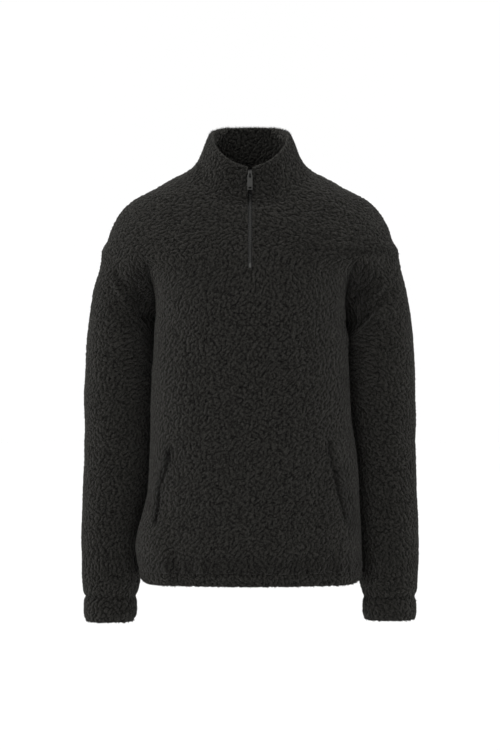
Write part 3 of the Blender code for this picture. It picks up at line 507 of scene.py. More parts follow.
def slack(p):
    """The cloth's broad unevenness, from waves of uneven lengths."""
    x, y, z = p[..., 0], p[..., 1], p[..., 2]
    wave = np.sin(x / 19.0 + 1.3 * np.sin(z / 41.0)) * np.sin(z / 27.0 + 0.9 * np.sin(x / 33.0 + y / 29.0))
    return SLACK * (wave + 0.6 * np.sin(z / 13.0 + x / 37.0 + y / 21.0))


def relief(p):
    """How far the body's cloth stands out from its plain form at p."""
    return gather_depth(p) - fold_depth(p) + slack(p)


def from_pocket(p, name):
    """How far a point of the front lies outside the line of a pocket's mouth."""
    table = WELTS[name]
    away = (p[..., 0] - column(table[::-1], "x", p[..., 2])) * np.sign(table[0].x)
    return np.where(p[..., 1] < 0, away, -FAR_AWAY)


def pocket_crease(p, name, before, behind):
    """From 0 to 1 towards the line of a pocket's mouth, over these widths on its two sides."""
    away = from_pocket(p, name)
    top, bottom = WELTS[name][0].z + CREASE_PAST, WELTS[name][-1].z - CREASE_PAST
    ends = window(p[..., 2], Span(bottom, CREASE_FADE, top, CREASE_FADE))
    return ends * np.exp(-((away / np.where(away < 0, before, behind)) ** 2))


def underarm_fan(p):
    """From 0 to 1 where the sleeve's front is drawn in towards the underarm."""
    out = np.abs(p[..., 0]) - UNDERARM_X
    return window(p[..., 2], FAN_TALL) * window(out, FAN_WIDE) * (p[..., 1] < FAN_BACK)


# ---- the pile


def hashed(cells, salt):
    """A number from 0 to 1 for each cell of a lattice."""
    h = (cells[..., 0] * 73856093) ^ (cells[..., 1] * 19349663) ^ (cells[..., 2] * 83492791)
    h = (h ^ (salt * 668265263)) & 0xFFFFFFFF
    for _ in range(2):
        h = ((h ^ (h >> 15)) * 2246822519) & 0xFFFFFFFF
        h = ((h ^ (h >> 13)) * 3266489917) & 0xFFFFFFFF
    return ((h ^ (h >> 16)) & 0xFFFFFF) / float(0x1000000)


def swirls(points, up, across, lean, order, curl, salt):
    """Complex waves over the points. Each cell of a lattice holds one short stretch of them, which
    runs at an angle of its own, spread about lean, and less so where order nears 1."""
    base = np.floor(points / curl.cell).astype(np.int64)
    waves = np.zeros(points.shape[:-1], complex)
    for step in np.ndindex(3, 3, 3):
        cell = base + (np.array(step) - 1)
        spot = np.stack([hashed(cell, salt + i) for i in range(3)], -1)
        away = points - (cell + spot) * curl.cell
        angle = lean + (hashed(cell, salt + 3) - 0.5) * curl.spread * (1 - order)
        along = np.cos(angle) * (away * up).sum(-1) + np.sin(angle) * (away * across).sum(-1)
        size = curl.wide * (CURL_LEAST + CURL_MORE * hashed(cell, salt + 4))
        near = np.exp(-(away**2).sum(-1) / (2 * curl.reach**2))
        waves += near * np.exp(2j * pi * (along / size + hashed(cell, salt + 5)))
    return waves


def curls(points, out, lean, order):
    """The height of the pile, from 0 in a groove to 1 on top of a curl."""
    up = np.array([0.0, 0.0, 1.0]) - out * out[..., 2:]
    up = unit(up + np.array([0.0, 1e-4, 0.0]))
    across = np.cross(up, out)
    heights = []
    for curl, salt in ((LARGE, 1), (SMALL, 11)):
        waves = swirls(points, up, across, lean, order, curl, salt)
        size = np.abs(waves)
        level = (1 + waves.real / np.maximum(size, 1e-9)) / 2
        heights.append(level ** (CURL_ROUND / 2) * ease(CALM_HIGH + size / CALM_SIZE))
    return heights[0] * (1 - SMALL_DEEP * (1 - heights[1]))


def slant(points):
    """The way across the curls, and how far they keep to it: level on the body and the sleeves,
    leaning at the shoulders, and across the creases at the underarms."""
    x, z = np.abs(points[..., 0]) - UNDERARM_X, points[..., 2]
    shoulders = ease((z - SHOULDERS_LOW) / SHOULDERS_TALL)
    plain = radians(BODY_LEAN) + shoulders * radians(SHOULDER_LEAN)
    spoke = np.arctan2(np.maximum(x, 0.0) + FAN_OFFSET, np.maximum(z - UNDERARM_Z, 0.0)) + pi / 2
    fan = underarm_fan(points)
    lean = np.where(fan > FAN_LEAST, np.sign(points[..., 0]) * spoke, plain)
    gathers = window(z - HEM_SEAM, GATHER_COMBED)
    return lean, FAN_ORDER * fan + GATHER_ORDER * gathers - SHOULDER_LOOSE * shoulders


def pile(points, out, edge, high=PILE_HIGH, sunk=PILE_SUNK):
    """Points of the outside raised into curls, and the height of each. edge is the distance to the
    piece's nearest seam."""
    height = curls(points, out, *slant(points))
    near = np.exp(-((edge / SEAM_WIDE) ** 2))
    move = high * height * (1 - SEAM_FLAT * near) - sunk - SEAM_DITCH * near
    return points + out * move[..., None], height * (1 - SEAM_FLAT * near)


# ---- building a piece


def add_to_scene(name, data):
    """An object of this name and data, in the scene."""
    made = bpy.data.objects.new(name, data)
    bpy.context.scene.collection.objects.link(made)
    return made


def add_object(name, points, faces, look, tones=()):
    """An object from points in millimetres and triangles, with a value at each point for each tone."""
    faces = faces.astype(np.int32)
    mesh = bpy.data.meshes.new(name)
    mesh.vertices.add(len(points))
    mesh.vertices.foreach_set("co", (points * MM).astype(np.float32).ravel())
    mesh.loops.add(faces.size)
    mesh.loops.foreach_set("vertex_index", faces.ravel())
    mesh.polygons.add(len(faces))
    mesh.polygons.foreach_set("loop_start", np.arange(0, faces.size, 3, dtype=np.int32))
    mesh.update(calc_edges=True)
    for word, values in tones:
        tone = mesh.attributes.new(word, "FLOAT", "POINT")
        tone.data.foreach_set("value", values.astype(np.float32))
    mesh.shade_smooth()
    mesh.materials.append(look)
    return add_to_scene(name, mesh)


def face_outwards(mesh):
    shape = bmesh.new()
    shape.from_mesh(mesh)
    bmesh.ops.recalc_face_normals(shape, faces=shape.faces)
    if shape.calc_volume(signed=True) < 0:
        bmesh.ops.reverse_faces(shape, faces=shape.faces)
    shape.to_mesh(mesh)
    shape.free()


class Piece:
    """The points and faces of one piece of cloth, gathered layer by layer."""

    def __init__(self, name):
        self.name, self.count = name, 0
        self.points, self.height, self.shade, self.faces = [], [], [], []
        self.hairs = []

    def add(self, points, height, shade=1.0):
        """Adds points and returns their numbers, in the same layout."""
        shape = points.shape[:-1]
        self.points.append(points.reshape(-1, 3))
        self.height.append(np.broadcast_to(height, shape).reshape(-1))
        self.shade.append(np.broadcast_to(shade, shape).reshape(-1))
        size = int(np.prod(shape))
        self.count += size
        return np.arange(self.count - size, self.count).reshape(shape)

    def grid(self, index, wrap=False):
        """Faces between the rows and columns of a layout of numbers."""
        if wrap:
            index = np.concatenate([index, index[:, :1]], axis=1)
        ring = (index[:-1, :-1], index[:-1, 1:], index[1:, 1:], index[1:, :-1])
        quads = np.stack(ring, -1).reshape(-1, 4)
        self.faces.append(np.concatenate([quads[:, [0, 1, 2]], quads[:, [0, 2, 3]]]))

    def strip(self, a, b):
        """Triangles between two lines of points, which may have different numbers of them."""
        i = j = 0
        made = []
        last_a, last_b = len(a) - 1, len(b) - 1
        while i < last_a or j < last_b:
            if j == last_b or (i < last_a and (i + 1) * last_b <= (j + 1) * last_a):
                made.append((a[i], b[j], a[i + 1]))
                i += 1
            else:
                made.append((a[i], b[j], b[j + 1]))
                j += 1
        self.faces.append(np.array(made))

    def close(self, a, b):
        """Triangles between two rings of points."""
        self.strip(np.append(a, a[0]), np.append(b, b[0]))

    def hair(self, points, out, share, wide=FIBRE_WIDE, long=FIBRE_LONG):
        """Loose fibres at a share of these points, which stand out along the outline."""
        self.hairs.append((points.reshape(-1, 3), out.reshape(-1, 3), share, wide, long))

    def build(self, name, look, tones=()):
        """An object of the piece's faces, without those that are no more than a line."""
        points, faces = np.concatenate(self.points), np.concatenate(self.faces)
        whole = (faces != np.roll(faces, 1, axis=1)).all(axis=1)
        made = add_object(name, points, faces[whole], look, tones)
        face_outwards(made.data)
        return made

    def finish(self):
        """The piece as fleece, and its loose fibres."""
        tones = (("pile", np.concatenate(self.height)), ("shade", np.concatenate(self.shade)))
        made = self.build(f"{self.name}_fleece", MATERIALS["sherpa"], tones)
        add_fuzz(f"{self.name}_fuzz", self.hairs)
        return made


def add_fuzz(name, places):
    """Thin loose fibres, each one triangle, at points spread evenly over the places."""
    lots = np.random.default_rng(FIBRE_SEED)
    chosen = []
    for points, out, share, wide, long in places:
        spots = lots.choice(len(points), int(len(points) * share), replace=False)
        sizes = np.full((len(spots), 1), wide), np.full((len(spots), 1), long)
        chosen.append((points[spots], out[spots], *sizes))
    root, out, wide, long = (np.concatenate(v) for v in zip(*chosen))
    lean = unit(lots.normal(size=root.shape)) * FIBRE_SPREAD
    long = long * lots.uniform(FIBRE_SHORTEST, 1.0, (len(root), 1))
    tip = root + unit(out + lean) * long
    aside = unit(np.cross(out, lots.normal(size=root.shape))) * wide / 2
    points = np.stack([root - aside, root + aside, tip], 1).reshape(-1, 3)
    faces = np.arange(len(points)).reshape(-1, 3)
    tones = (("pile", np.full(len(points), FIBRE_TONE)), ("shade", np.ones(len(points))))
    fuzz = add_object(name, points, faces, MATERIALS["sherpa"], tones)
    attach(fuzz, "pullover")


def tuck(points, out, row, beside):
    """A row that runs on from the piece's end row, under the piece that it is sewn to."""
    return points[row] + unit(points[row] - points[beside]) * TUCK_REACH - out[row] * TUCK_DEEP


def from_ends(count, spacing):
    """The distance of each of a number of rows from the nearer end."""
    row = np.arange(count)
    return np.minimum(row, row[::-1]) * spacing


# ---- panels of the body


def armhole_end(angle):
    """(turn, height) of the armhole seam at an angle round the arm."""
    z = column(ARMHOLE, "z", angle, key="angle")
    return turn_of(column(ARMHOLE, "out", angle, key="angle"), z), z


def neck_seam(share, face):
    """(turn, height) of the neck seam, for shares from 0 at the centre to 1 at the shoulder."""
    angle = share * pi / 2
    z = (NECK_FRONT if face < 0 else NECK_BACK) * np.cos(angle)
    x = column(BODY, "left", 0.0) * np.sin(angle)
    return turn_of(x / column(BODY, "left", z), z), z


def wedge_shade(points):
    """Painted shade: the cloth is darker where the sleeve's front folds in over the underarm."""
    above = 1 - ease((WEDGE_LOW - points[..., 2]) / WEDGE_TALL)
    return 1 - WEDGE_DARK * underarm_fan(points) * above


def body_light(points):
    """Painted light: the cloth is lighter at the body's sides under the arms, at the shoulders and at the
    glows.
    """
    x, z = points[..., 0], points[..., 2]
    side = ease((np.abs(x) - SIDE_FROM) / SIDE_OVER) * window(z, SIDE_TALL)
    light = (1 + SIDE_BRIGHT * side) * (1 + TOP_BRIGHT * ease((z - TOP_LOW) / TOP_TALL))
    for g in GLOWS:
        light = light * (1 + g.more * np.exp(-(((x - g.x) / g.wide) ** 2) - ((z - g.z) / g.tall) ** 2))
    return light


def body_shade(points):
    """The painted light and shade of the body's cloth: darker along the pockets' mouths and beyond them,
    in the gathers above the hem and at the underarms, and lighter where body_light paints light."""
    z = points[..., 2]
    gathers = window(z - HEM_SEAM, GATHER_SHADED)
    shade = (1 - GATHER_DARK * gathers) * wedge_shade(points) * body_light(points)
    for name, look in POCKET_SHADES.items():
        beyond = window(from_pocket(points, name), look.out) * window(z, look.tall)
        mouth = pocket_crease(points, name, look.before, look.behind)
        shade = shade * (1 - look.beyond * beyond) * (1 - look.mouth * mouth)
    return shade


def body_surface(turn, z, face):
    """Points of a panel's outside with its folds and gathers, and directions out of them."""
    points = body_point(turn, z, face)
    out = body_out(points)
    move = relief(points)
    for name in WELTS:
        move = move - CREASE_DEEP * pocket_crease(points, name, CREASE_WIDE, CREASE_BEHIND)
    return points + out * move[..., None], out


def slit_turn(z):
    return turn_of(SLIT_HALF / column(BODY, "left", z), z)


Panel = namedtuple("Panel", "share side middle turn z top")


def panel_rows(face, spacing, skip):
    """Where the rows and columns of a panel's points lie below the shoulder, and the turn and height
    at which each column ends at the neck."""
    half = steps_in(PANEL_HALF, spacing, INSIDE)
    share = np.linspace(0, 1, half + 1)[::skip]
    share = np.concatenate([-share[::-1], share[0 if face < 0 else 1 :]])
    middle = len(share) // 2
    side = np.where(np.arange(len(share)) < middle, -1.0, 1.0)
    size = np.abs(share)
    side_rows = steps_in(UNDERARM - HEM_SEAM, spacing, INSIDE)
    arm_rows = steps_in(ARM_PATH, spacing, INSIDE)
    low = HEM_SEAM + (UNDERARM - HEM_SEAM) * np.linspace(0, 1, side_rows + 1)[:-1:skip, None]
    angle = np.linspace(180, 0, arm_rows + 1)[::skip, None]
    end_turn, end_z = armhole_end(angle)
    centre = column(ARMHOLE, "centre", angle, key="angle")
    even = even_turns(size)
    z = np.concatenate([low + 0 * even, centre + (end_z - centre) * size**ROW_BEND])
    turn = np.concatenate([0 * low + even, end_turn * even])
    neck_turn, neck_z = neck_seam(size, face)
    if face < 0:
        turn = turn + slit_turn(z) * (1 - even)
        neck_turn = np.maximum(neck_turn, slit_turn(neck_z))
    return Panel(share, side, middle, side * turn, z, (side * neck_turn, neck_z))


def shoulder_columns(panel, face, spacing):
    """The turns and heights of each column's points above the last row, up to the neck."""
    columns = []
    for j, (neck_turn, neck_z) in enumerate(zip(*panel.top)):
        up = np.linspace(0, 1, COLUMN_POINTS)
        ends = (panel.turn[-1, j], neck_turn), (panel.z[-1, j], neck_z)
        turns, heights = (a + (b - a) * up for a, b in ends)
        long = np.linalg.norm(np.diff(body_point(turns, heights, face), axis=0), axis=1).sum()
        up = np.linspace(0, 1, max(2, steps_in(long, spacing) + 1))[1:]
        columns.append([a + (b - a) * up for a, b in ends])
    return columns


def panel_layer(piece, face, spacing, skip, inward):
    """One layer of a panel: its outside, or its inside if inward. Returns its edges."""
    panel = panel_rows(face, spacing, skip)
    middle, last = panel.middle, len(panel.share) - 1
    columns = shoulder_columns(panel, face, spacing * skip)
    counts = [len(c[0]) for c in columns]
    lower, out = body_surface(panel.turn, panel.z, face)
    upper, upper_out = body_surface(*(np.concatenate(v) for v in zip(*columns)), face)
    from_slit = np.abs(np.arange(last + 1) - middle + 0.5) * spacing + (face > 0) * FAR_AWAY
    from_slit = from_slit + SLIT_EDGE
    if inward:
        index = piece.add(lower - out * WALL, INNER_TONE)
        flat = piece.add(upper - upper_out * WALL, INNER_TONE)
    else:
        edge = np.arange(len(panel.z))[:, None] * spacing + 0 * panel.z
        edge = np.where(panel.z > ZIP_END, np.minimum(edge, from_slit), edge)
        raised, height = pile(lower, out, edge)
        index = piece.add(raised, height, body_shade(lower))
        piece.hair(raised, out, PLAIN_FUZZ)
        edge = np.repeat(from_slit, counts)
        raised, height = pile(upper, upper_out, edge)
        flat = piece.add(raised, height, body_shade(upper))
        piece.hair(raised, upper_out, TOP_FUZZ)
    ends = np.cumsum(counts)
    lines = [np.append(index[-1, j], flat[b - n : b]) for j, (n, b) in enumerate(zip(counts, ends))]
    necks = np.array([line[-1] for line in lines])
    edges = {
        "right": np.concatenate([index[:, 0], lines[0][1:]]),
        "left": np.concatenate([index[:, -1], lines[-1][1:]]),
    }
    if face > 0:
        piece.grid(index)
        joined = range(last)
        edges.update(neck=necks, hem=index[0])
    else:
        foot = int(np.argmin(np.abs(panel.z[:, middle] - ZIP_END)))
        under = slice(0, foot + 1)
        inner = (index[under, :0],)
        if not inward:
            turns = slit_turn(panel.z[under, middle])[:, None] * np.array([-0.5, 0.0, 0.5])
            points, between = body_surface(turns, panel.z[under, middle][:, None] + 0 * turns, face)
            edge = np.arange(foot + 1)[:, None] * spacing + 0 * turns
            raised, height = pile(points, between, edge)
            inner = (piece.add(raised, height, body_shade(points)),)
        beside = index[under, middle - 1 : middle], index[under, middle : middle + 1]
        bridge = np.concatenate([beside[0], *inner, beside[1]], axis=1)
        piece.grid(index[:, :middle])
        piece.grid(index[:, middle:])
        piece.grid(bridge)
        joined = (*range(middle - 1), *range(middle, last))
        edges["slit_right"] = np.concatenate([index[foot:, middle - 1], lines[middle - 1][1:]])
        edges["slit_left"] = np.concatenate([index[foot:, middle], lines[middle][1:]])
        edges["slit_foot"] = bridge[-1]
        edges["hem"] = np.concatenate([index[0, : middle - 1], bridge[0], index[0, middle + 1 :]])
        edges["neck_right"], edges["neck_left"] = necks[:middle], necks[middle:]
    for j in joined:
        piece.strip(lines[j], lines[j + 1])
    return edges


def body_panel(name, face, spacing):
    piece = Piece(name)
    outside = panel_layer(piece, face, spacing, 1, False)
    inside = panel_layer(piece, face, spacing, INSIDE, True)
    for word, line in outside.items():
        piece.strip(line, inside[word])
    return piece.finish()


# ---- sleeves, cuffs and hem band


def sleeve_point(angle, z, side, face):
    """A point of the sleeve's own section. angle is in degrees, 0 at the outer edge."""
    out = column(SLEEVE, "out", z)
    near = column(SLEEVE, "in_left" if side > 0 else "in_right", z)
    half, middle = (out - near) / 2, (out + near) / 2
    cosine, sine = np.cos(np.radians(angle)), np.sin(np.radians(angle))
    power = 2 / SLEEVE_SQUARE
    x = middle + half * np.sign(cosine) * np.abs(cosine) ** power
    y = column(SLEEVE, "middle", z) + face * column(SLEEVE, "deep", z) * np.abs(sine) ** power
    return np.stack(np.broadcast_arrays(side * x, y, z), -1)


def both(front, back):
    """A ring from its front half and its back half, both from underneath to the top."""
    return np.concatenate([front, back[-2:0:-1]])


def ring_normals(grid):
    """Directions out of a tube of rings, from its own points."""
    round_it = np.roll(grid, -1, axis=1) - np.roll(grid, 1, axis=1)
    normals = unit(np.cross(round_it, np.gradient(grid, axis=0)))
    centre = grid.mean(axis=1, keepdims=True)
    return normals * np.sign(((grid - centre) * normals).sum(axis=(1, 2), keepdims=True))


def sleeve_rings(side, around, along):
    """The outside of a sleeve, rows from the armhole down, with its folds."""
    angle = np.linspace(180, 0, around // 2 + 1)
    turn, z = armhole_end(angle)
    rings = []
    for share in np.linspace(0, 1, along + 1):
        ring = []
        for face in (-1, 1):
            start = body_point(side * turn, z, face)
            level = start[:, 2] + (CUFF_SEAM - start[:, 2]) * share
            own = sleeve_point(angle, level, side, face)
            miss = start - sleeve_point(angle, start[:, 2], side, face)
            fade = 1 - ease((start[:, 2] - level) / EASE_IN)
            ring.append(own + miss * fade[:, None] * np.array([1, 1, 0]))
        rings.append(both(*ring))
    outer = np.array(rings)
    normals = ring_normals(outer)
    start_out = body_out(outer[0])
    far = np.linalg.norm(outer - outer[0], axis=-1, keepdims=True)
    normals = unit(normals + (start_out - normals) * (1 - ease(far / BLEND)))
    free = ease(np.arange(along + 1)[::-1] * SLEEVE_ENDS / along)
    move = (slack(outer) - fold_depth(outer)) * free[:, None]
    return outer + normals * move[..., None], normals


def beside_body(points, side):
    """How far a point of a sleeve lies outside the body's side, and how fully it faces it."""
    z = points[..., 2]
    half = column(BODY, "left" if side > 0 else "right", z)
    return side * points[..., 0] - half, window(z, VALLEY_TALL)


def valley(points, side):
    """The painted shade of a sleeve's cloth, which is dark beside the body and wider so at the top"""
    z = points[..., 2]
    away, level = beside_body(points, side)
    reach = VALLEY_REACH + VALLEY_WIDER * ease((z - VALLEY_LOW) / VALLEY_OVER)
    near = np.exp(-(np.maximum(away, 0.0) / reach) ** VALLEY_SHARP)
    dark = VALLEY_DARK * (1 - LOW_LIGHTER * ease((LOW_FROM - z) / LOW_OVER))
    return (1 - dark * near * level) * wedge_shade(points)


def sleeve_piece(word, side):
    around = steps_in(SLEEVE_GIRTH, ARM_FINE, 2 * INSIDE)
    along = steps_in(SLEEVE_LONG, ARM_FINE, INSIDE)
    outer, normals = sleeve_rings(side, around, along)
    edge = np.arange(along + 1)[::-1, None] * SLEEVE_LONG / along
    piece = Piece(f"sleeve_{word}")
    raised, height = pile(outer, normals, edge)
    away, level = beside_body(outer, side)
    near = np.exp(-((np.maximum(away, 0) / SNUG_WIDE) ** 2))
    raised[..., 0] -= side * np.clip(away + SNUG, 0, SNUG_MOST * SNUG) * level * near
    shade = valley(outer, side)
    top, foot = tuck(outer, normals, 0, 1), tuck(outer, normals, -1, -2)
    outside = piece.add(raised, height, shade)
    ends = [piece.add(row[None], *TUCKED) for row in (top, foot)]
    outside = np.concatenate([ends[0], outside, ends[1]])
    inside = piece.add((outer - normals * WALL)[::INSIDE, ::INSIDE], INNER_TONE)
    piece.grid(outside, wrap=True)
    piece.grid(inside, wrap=True)
    for row in (0, -1):
        piece.close(outside[row], inside[row])
    piece.hair(raised, normals, PLAIN_FUZZ)
    return piece.finish()


def band(name, ring, top, bottom, spacing):
    """A turned band below a seam: down its outside, round its edge and up inside. ring gives its
    outside's points at a height."""
    steps = steps_in(top - bottom, spacing) + 1
    outer = np.array([ring(z) for z in np.linspace(top, bottom + BAND_ROLL, steps)])
    out = ring_normals(outer)
    out[..., 2] = 0.0
    out = unit(out)
    turns = np.radians(np.linspace(0, 180, int(pi * BAND_ROLL / spacing) + 2))[1:-1]
    low = outer[-1] - out[-1] * BAND_ROLL
    down = np.array([0.0, 0.0, BAND_ROLL])
    bend = [low + out[-1] * BAND_ROLL * np.cos(t) - down * np.sin(t) for t in turns]
    bend_out = [out[-1] * np.cos(t) - down / BAND_ROLL * np.sin(t) for t in turns]
    inner = (outer - out * 2 * BAND_ROLL)[::-1]
    loops = np.concatenate([outer, np.array(bend), inner])
    outwards = np.concatenate([out, np.array(bend_out), -out[::-1]])
    edge = np.broadcast_to(from_ends(len(loops), spacing)[:, None], loops.shape[:2])
    raised, height = pile(loops, outwards, edge, sunk=BAND_SUNK)
    piece = Piece(name)
    index = piece.add(raised, height)
    start = piece.add(tuck(outer, out, 0, 1)[None], *TUCKED)
    index = np.concatenate([start, index])
    piece.grid(index, wrap=True)
    piece.close(index[0], index[-1])
    edge = slice(steps - 1, steps + len(bend) + 1)
    piece.hair(raised[:steps], outwards[:steps], BAND_FUZZ)
    piece.hair(raised[edge], outwards[edge], BAND_EDGE_FUZZ)
    piece.hair(raised[edge], outwards[edge], TUFT_FUZZ, TUFT_WIDE)
    return piece.finish()


def cuff_piece(word, side):
    angle = np.linspace(180, 0, steps_in(CUFF_HALF, BAND_FINE) + 1)

    def ring(z):
        level = np.full(len(angle), z)
        return both(*(sleeve_point(angle, level, side, face) for face in (-1, 1)))

    edge = CUFF_EDGE if side > 0 else CUFF_EDGE - RIGHT_CUFF_LOWER
    return band(f"cuff_{word}", ring, CUFF_SEAM, edge, BAND_FINE)


def hem_piece():
    turns = even_turns(np.linspace(0, 1, steps_in(HEM_HALF, BAND_FINE) + 1))
    front = np.concatenate([-turns[::-1], turns[1:]])

    def ring(z):
        share = (HEM_SEAM - z) / (HEM_SEAM - HEM_EDGE)
        level = z + share * HEM_CORNER * np.abs(np.sin(front * pi / 2)) ** CORNER_TIGHT
        return both(body_point(front, level, -1), body_point(front, level, 1))

    return band("hem_band", ring, HEM_SEAM, HEM_EDGE, BAND_FINE)


# ---- collar


def collar_sections():
    """The collar's closed sections, from the slit round its left side and back to the slit, and the
    directions out of them."""
    share = np.linspace(0, 1, steps_in(COLLAR_QUARTER, COLLAR_FINE) + 1)
    quarter = even_turns(share) * 90
    angle = np.concatenate([quarter, 180 - quarter[-2::-1]])
    bases = []
    for face in (-1, 1):
        turn, z = neck_seam(share, face)
        if face < 0:
            turn = np.maximum(turn, slit_turn(z))
        bases.append(body_point(turn, z, face))
    left = np.concatenate([bases[0], bases[1][-2::-1]])
    mirror = np.array([-1, 1, 1])
    base = np.concatenate([left, left[-2::-1] * mirror])
    rim = np.stack([column(COLLAR_TOP, n, angle, key="angle") for n in "xyz"], -1)
    top = np.concatenate([rim, rim[-2::-1] * mirror])
    up = unit(top - base)
    round_it = np.gradient(top, axis=0) + np.gradient(base, axis=0)
    round_it[[0, -1], 1:] = 0.0
    out = unit(np.cross(unit(round_it), up))
    out *= np.sign((out * (base - base.mean(axis=0))).sum())
    roll = COLLAR_WALL / 2
    edge = top - up * roll + out * roll
    outside, inside = [], []
    for rise in np.linspace(0, 1, steps_in(COLLAR_TALL, COLLAR_FINE) + 1)[:-1]:
        hollow = COLLAR_HOLLOW * HOLLOW_PEAK * rise * (1 - rise) ** 2
        point = base + (edge - base) * rise - out * hollow
        thick = WALL + (COLLAR_WALL - WALL) * ease(rise / COLLAR_THICK_BY)
        outside.append(point)
        inside.append(point - out * thick)
    centre = top - up * roll
    turns = np.radians(np.linspace(0, 180, steps_in(pi * roll, COLLAR_FINE) + 2))
    bend = [centre + roll * (out * np.cos(b) + up * np.sin(b)) for b in turns]
    sections = np.stack(outside + bend + inside[::-1], axis=1)
    along = np.gradient(sections, axis=0)
    along[[0, -1], :, 1:] = 0.0
    normals = unit(np.cross(along, np.gradient(sections, axis=1)))
    normals *= np.sign((normals[:, 2] * out).sum())
    row = np.arange(sections.shape[1])[None, :, None]
    as_body = (1 - ease(row * COLLAR_FINE / BLEND)) * (row < len(outside))
    normals = unit(normals + (body_out(base)[:, None] - normals) * as_body)
    return sections + normals * as_body * slack(sections)[..., None], normals, len(outside)


def collar_piece():
    sections, normals, edge_row = collar_sections()
    row = np.arange(sections.shape[1])[None, :] - edge_row
    x, y, z = (sections[..., i] for i in range(3))
    slit = from_ends(len(sections), COLLAR_FINE)[:, None] + SLIT_EDGE + 0 * y
    flat = 1 - RIM_FLAT * np.exp(-(((row - FLAT_ROW) / FLAT_ROWS) ** 2))
    raised, height = pile(sections, normals, slit, PILE_HIGH * flat)
    # Painted shade on the inside, a painted highlight along the rim, painted light inside by the top
    # corners and painted shade in front under the chin
    later = RIM_LATER * ease((y - BACK_FROM) / BACK_OVER)
    rim = np.exp(-(((row - RIM_ROW - later) / RIM_ROWS) ** 2))
    corner = ease((np.abs(x) + CORNER_SLOPE * z - CORNER_AT) / CORNER_OVER + 0.5)
    inside = COLLAR_INSIDE + (CORNER_LIGHT - COLLAR_INSIDE) * corner
    shade = np.where(row > INSIDE_ROW, inside, 1.0) + (COLLAR_RIM - 1) * rim
    chin = ease((CHIN_HALF - np.abs(x)) / CHIN_FADE) * (y < CHIN_FRONT)
    piece = Piece("collar")
    index = piece.add(raised, height, shade * (1 - CHIN_DARK * chin))
    start = sections[:, 0] + unit(sections[:, 0] - sections[:, 1]) * TUCK_REACH
    start = piece.add((start - normals[:, 0] * TUCK_DEEP)[:, None], *TUCKED)
    index = np.concatenate([start, index], axis=1)
    piece.grid(index)
    piece.strip(index[:, 0], index[:, -1])
    for end in (0, -1):
        ring = index[end]
        far = len(ring) // 2
        piece.strip(ring[: far + 1], ring[far:][::-1])
    rim = slice(edge_row + FUZZ_ROWS[0], edge_row + FUZZ_ROWS[1])
    piece.hair(raised[:, :edge_row], normals[:, :edge_row], COLLAR_FUZZ)
    piece.hair(raised[:, rim], normals[:, rim], COLLAR_EDGE_FUZZ)
    back = sections[:, edge_row, 1] > BACK_OF_RIM
    piece.hair(raised[back, rim], normals[back, rim], BACK_RIM_FUZZ, FIBRE_WIDE, RIM_FIBRE)
    return piece.finish()


# ---- pockets and zip


def pocket_welt(name, table):
    """A padded strip on the front, high along the pocket's mouth and fading into the cloth behind."""
    top, bottom = table[0].z, table[-1].z
    z = np.linspace(top, bottom, steps_in(top - bottom, BAND_FINE) + 1)
    upwards = table[::-1]
    line, wide = column(upwards, "x", z), column(upwards, "wide", z)
    side = np.sign(table[0].x)
    share = np.linspace(0, 1, WELT_POINTS)
    x = line[:, None] + side * wide[:, None] * share
    base = body_on(x, z[:, None], -1)
    out = body_out(base)
    base = base + out * relief(base)[..., None]
    ends = ease(from_ends(len(z), 1.0) / WELT_END_ROWS)[:, None]
    rise = smooth(*zip(*WELT_RISE), share) * ends - (1 - ends)
    outer = base + out * rise[..., None]
    edge = np.minimum(from_ends(WELT_POINTS, WELT_SPACING), from_ends(len(z), BAND_FINE)[:, None])
    raised, height = pile(outer, out, edge + SLIT_EDGE)
    piece = Piece(name)
    outside = piece.add(raised, height, body_shade(base))
    inside = piece.add(base - out * WELT_BACK, *TUCKED)
    loops = np.concatenate([outside, inside[:, ::-1]], axis=1)
    piece.grid(loops, wrap=True)
    for end in (0, -1):
        piece.strip(outside[end], inside[end])
    piece.hair(raised, out, TOP_FUZZ)
    return piece.finish()


def zip_path():
    """Points close together down the zip, on the face of its teeth, with the ways along it and
    inwards and how far down the zip each of them is."""
    sections, _, edge_row = collar_sections()
    collar = sections[0, edge_row::-1]
    below = np.linspace(NECK_FRONT - ZIP_NECK, ZIP_END + ZIP_FOOT, ZIP_POINTS)
    line = np.concatenate([collar, body_point(0 * below, below, -1)]) * np.array([0, 1, 1])
    along = unit(np.gradient(line, axis=0))
    inward = np.stack([0 * along[:, 0], -along[:, 2], along[:, 1]], -1)
    inward *= np.sign(inward[:, 1:2])
    far = np.concatenate([[0], np.cumsum(np.linalg.norm(np.diff(line, axis=0), axis=1))])
    sunk = CHAIN_SUNK + COLLAR_DEEPER * ease((line[:, 2:] - NECK_FRONT - DEEPER_FROM) / DEEPER_OVER)
    return line + inward * sunk, along, inward, far


def tooth_shape():
    """One tooth's points and triangles: across x, down y and out z, centred, with round edges."""
    shape = bmesh.new()
    size = Vector((TOOTH_WIDE, TOOTH_LONG, TOOTH_DEEP))
    bmesh.ops.create_cube(shape, size=1.0, matrix=Matrix.Diagonal((*size, 1.0)))
    bmesh.ops.bevel(shape, geom=shape.edges, offset=TOOTH_BEVEL, segments=1, affect="EDGES")
    bmesh.ops.triangulate(shape, faces=shape.faces)
    points = np.array([v.co for v in shape.verts])
    faces = np.array([[v.index for v in f.verts] for f in shape.faces])
    shape.free()
    return points, faces


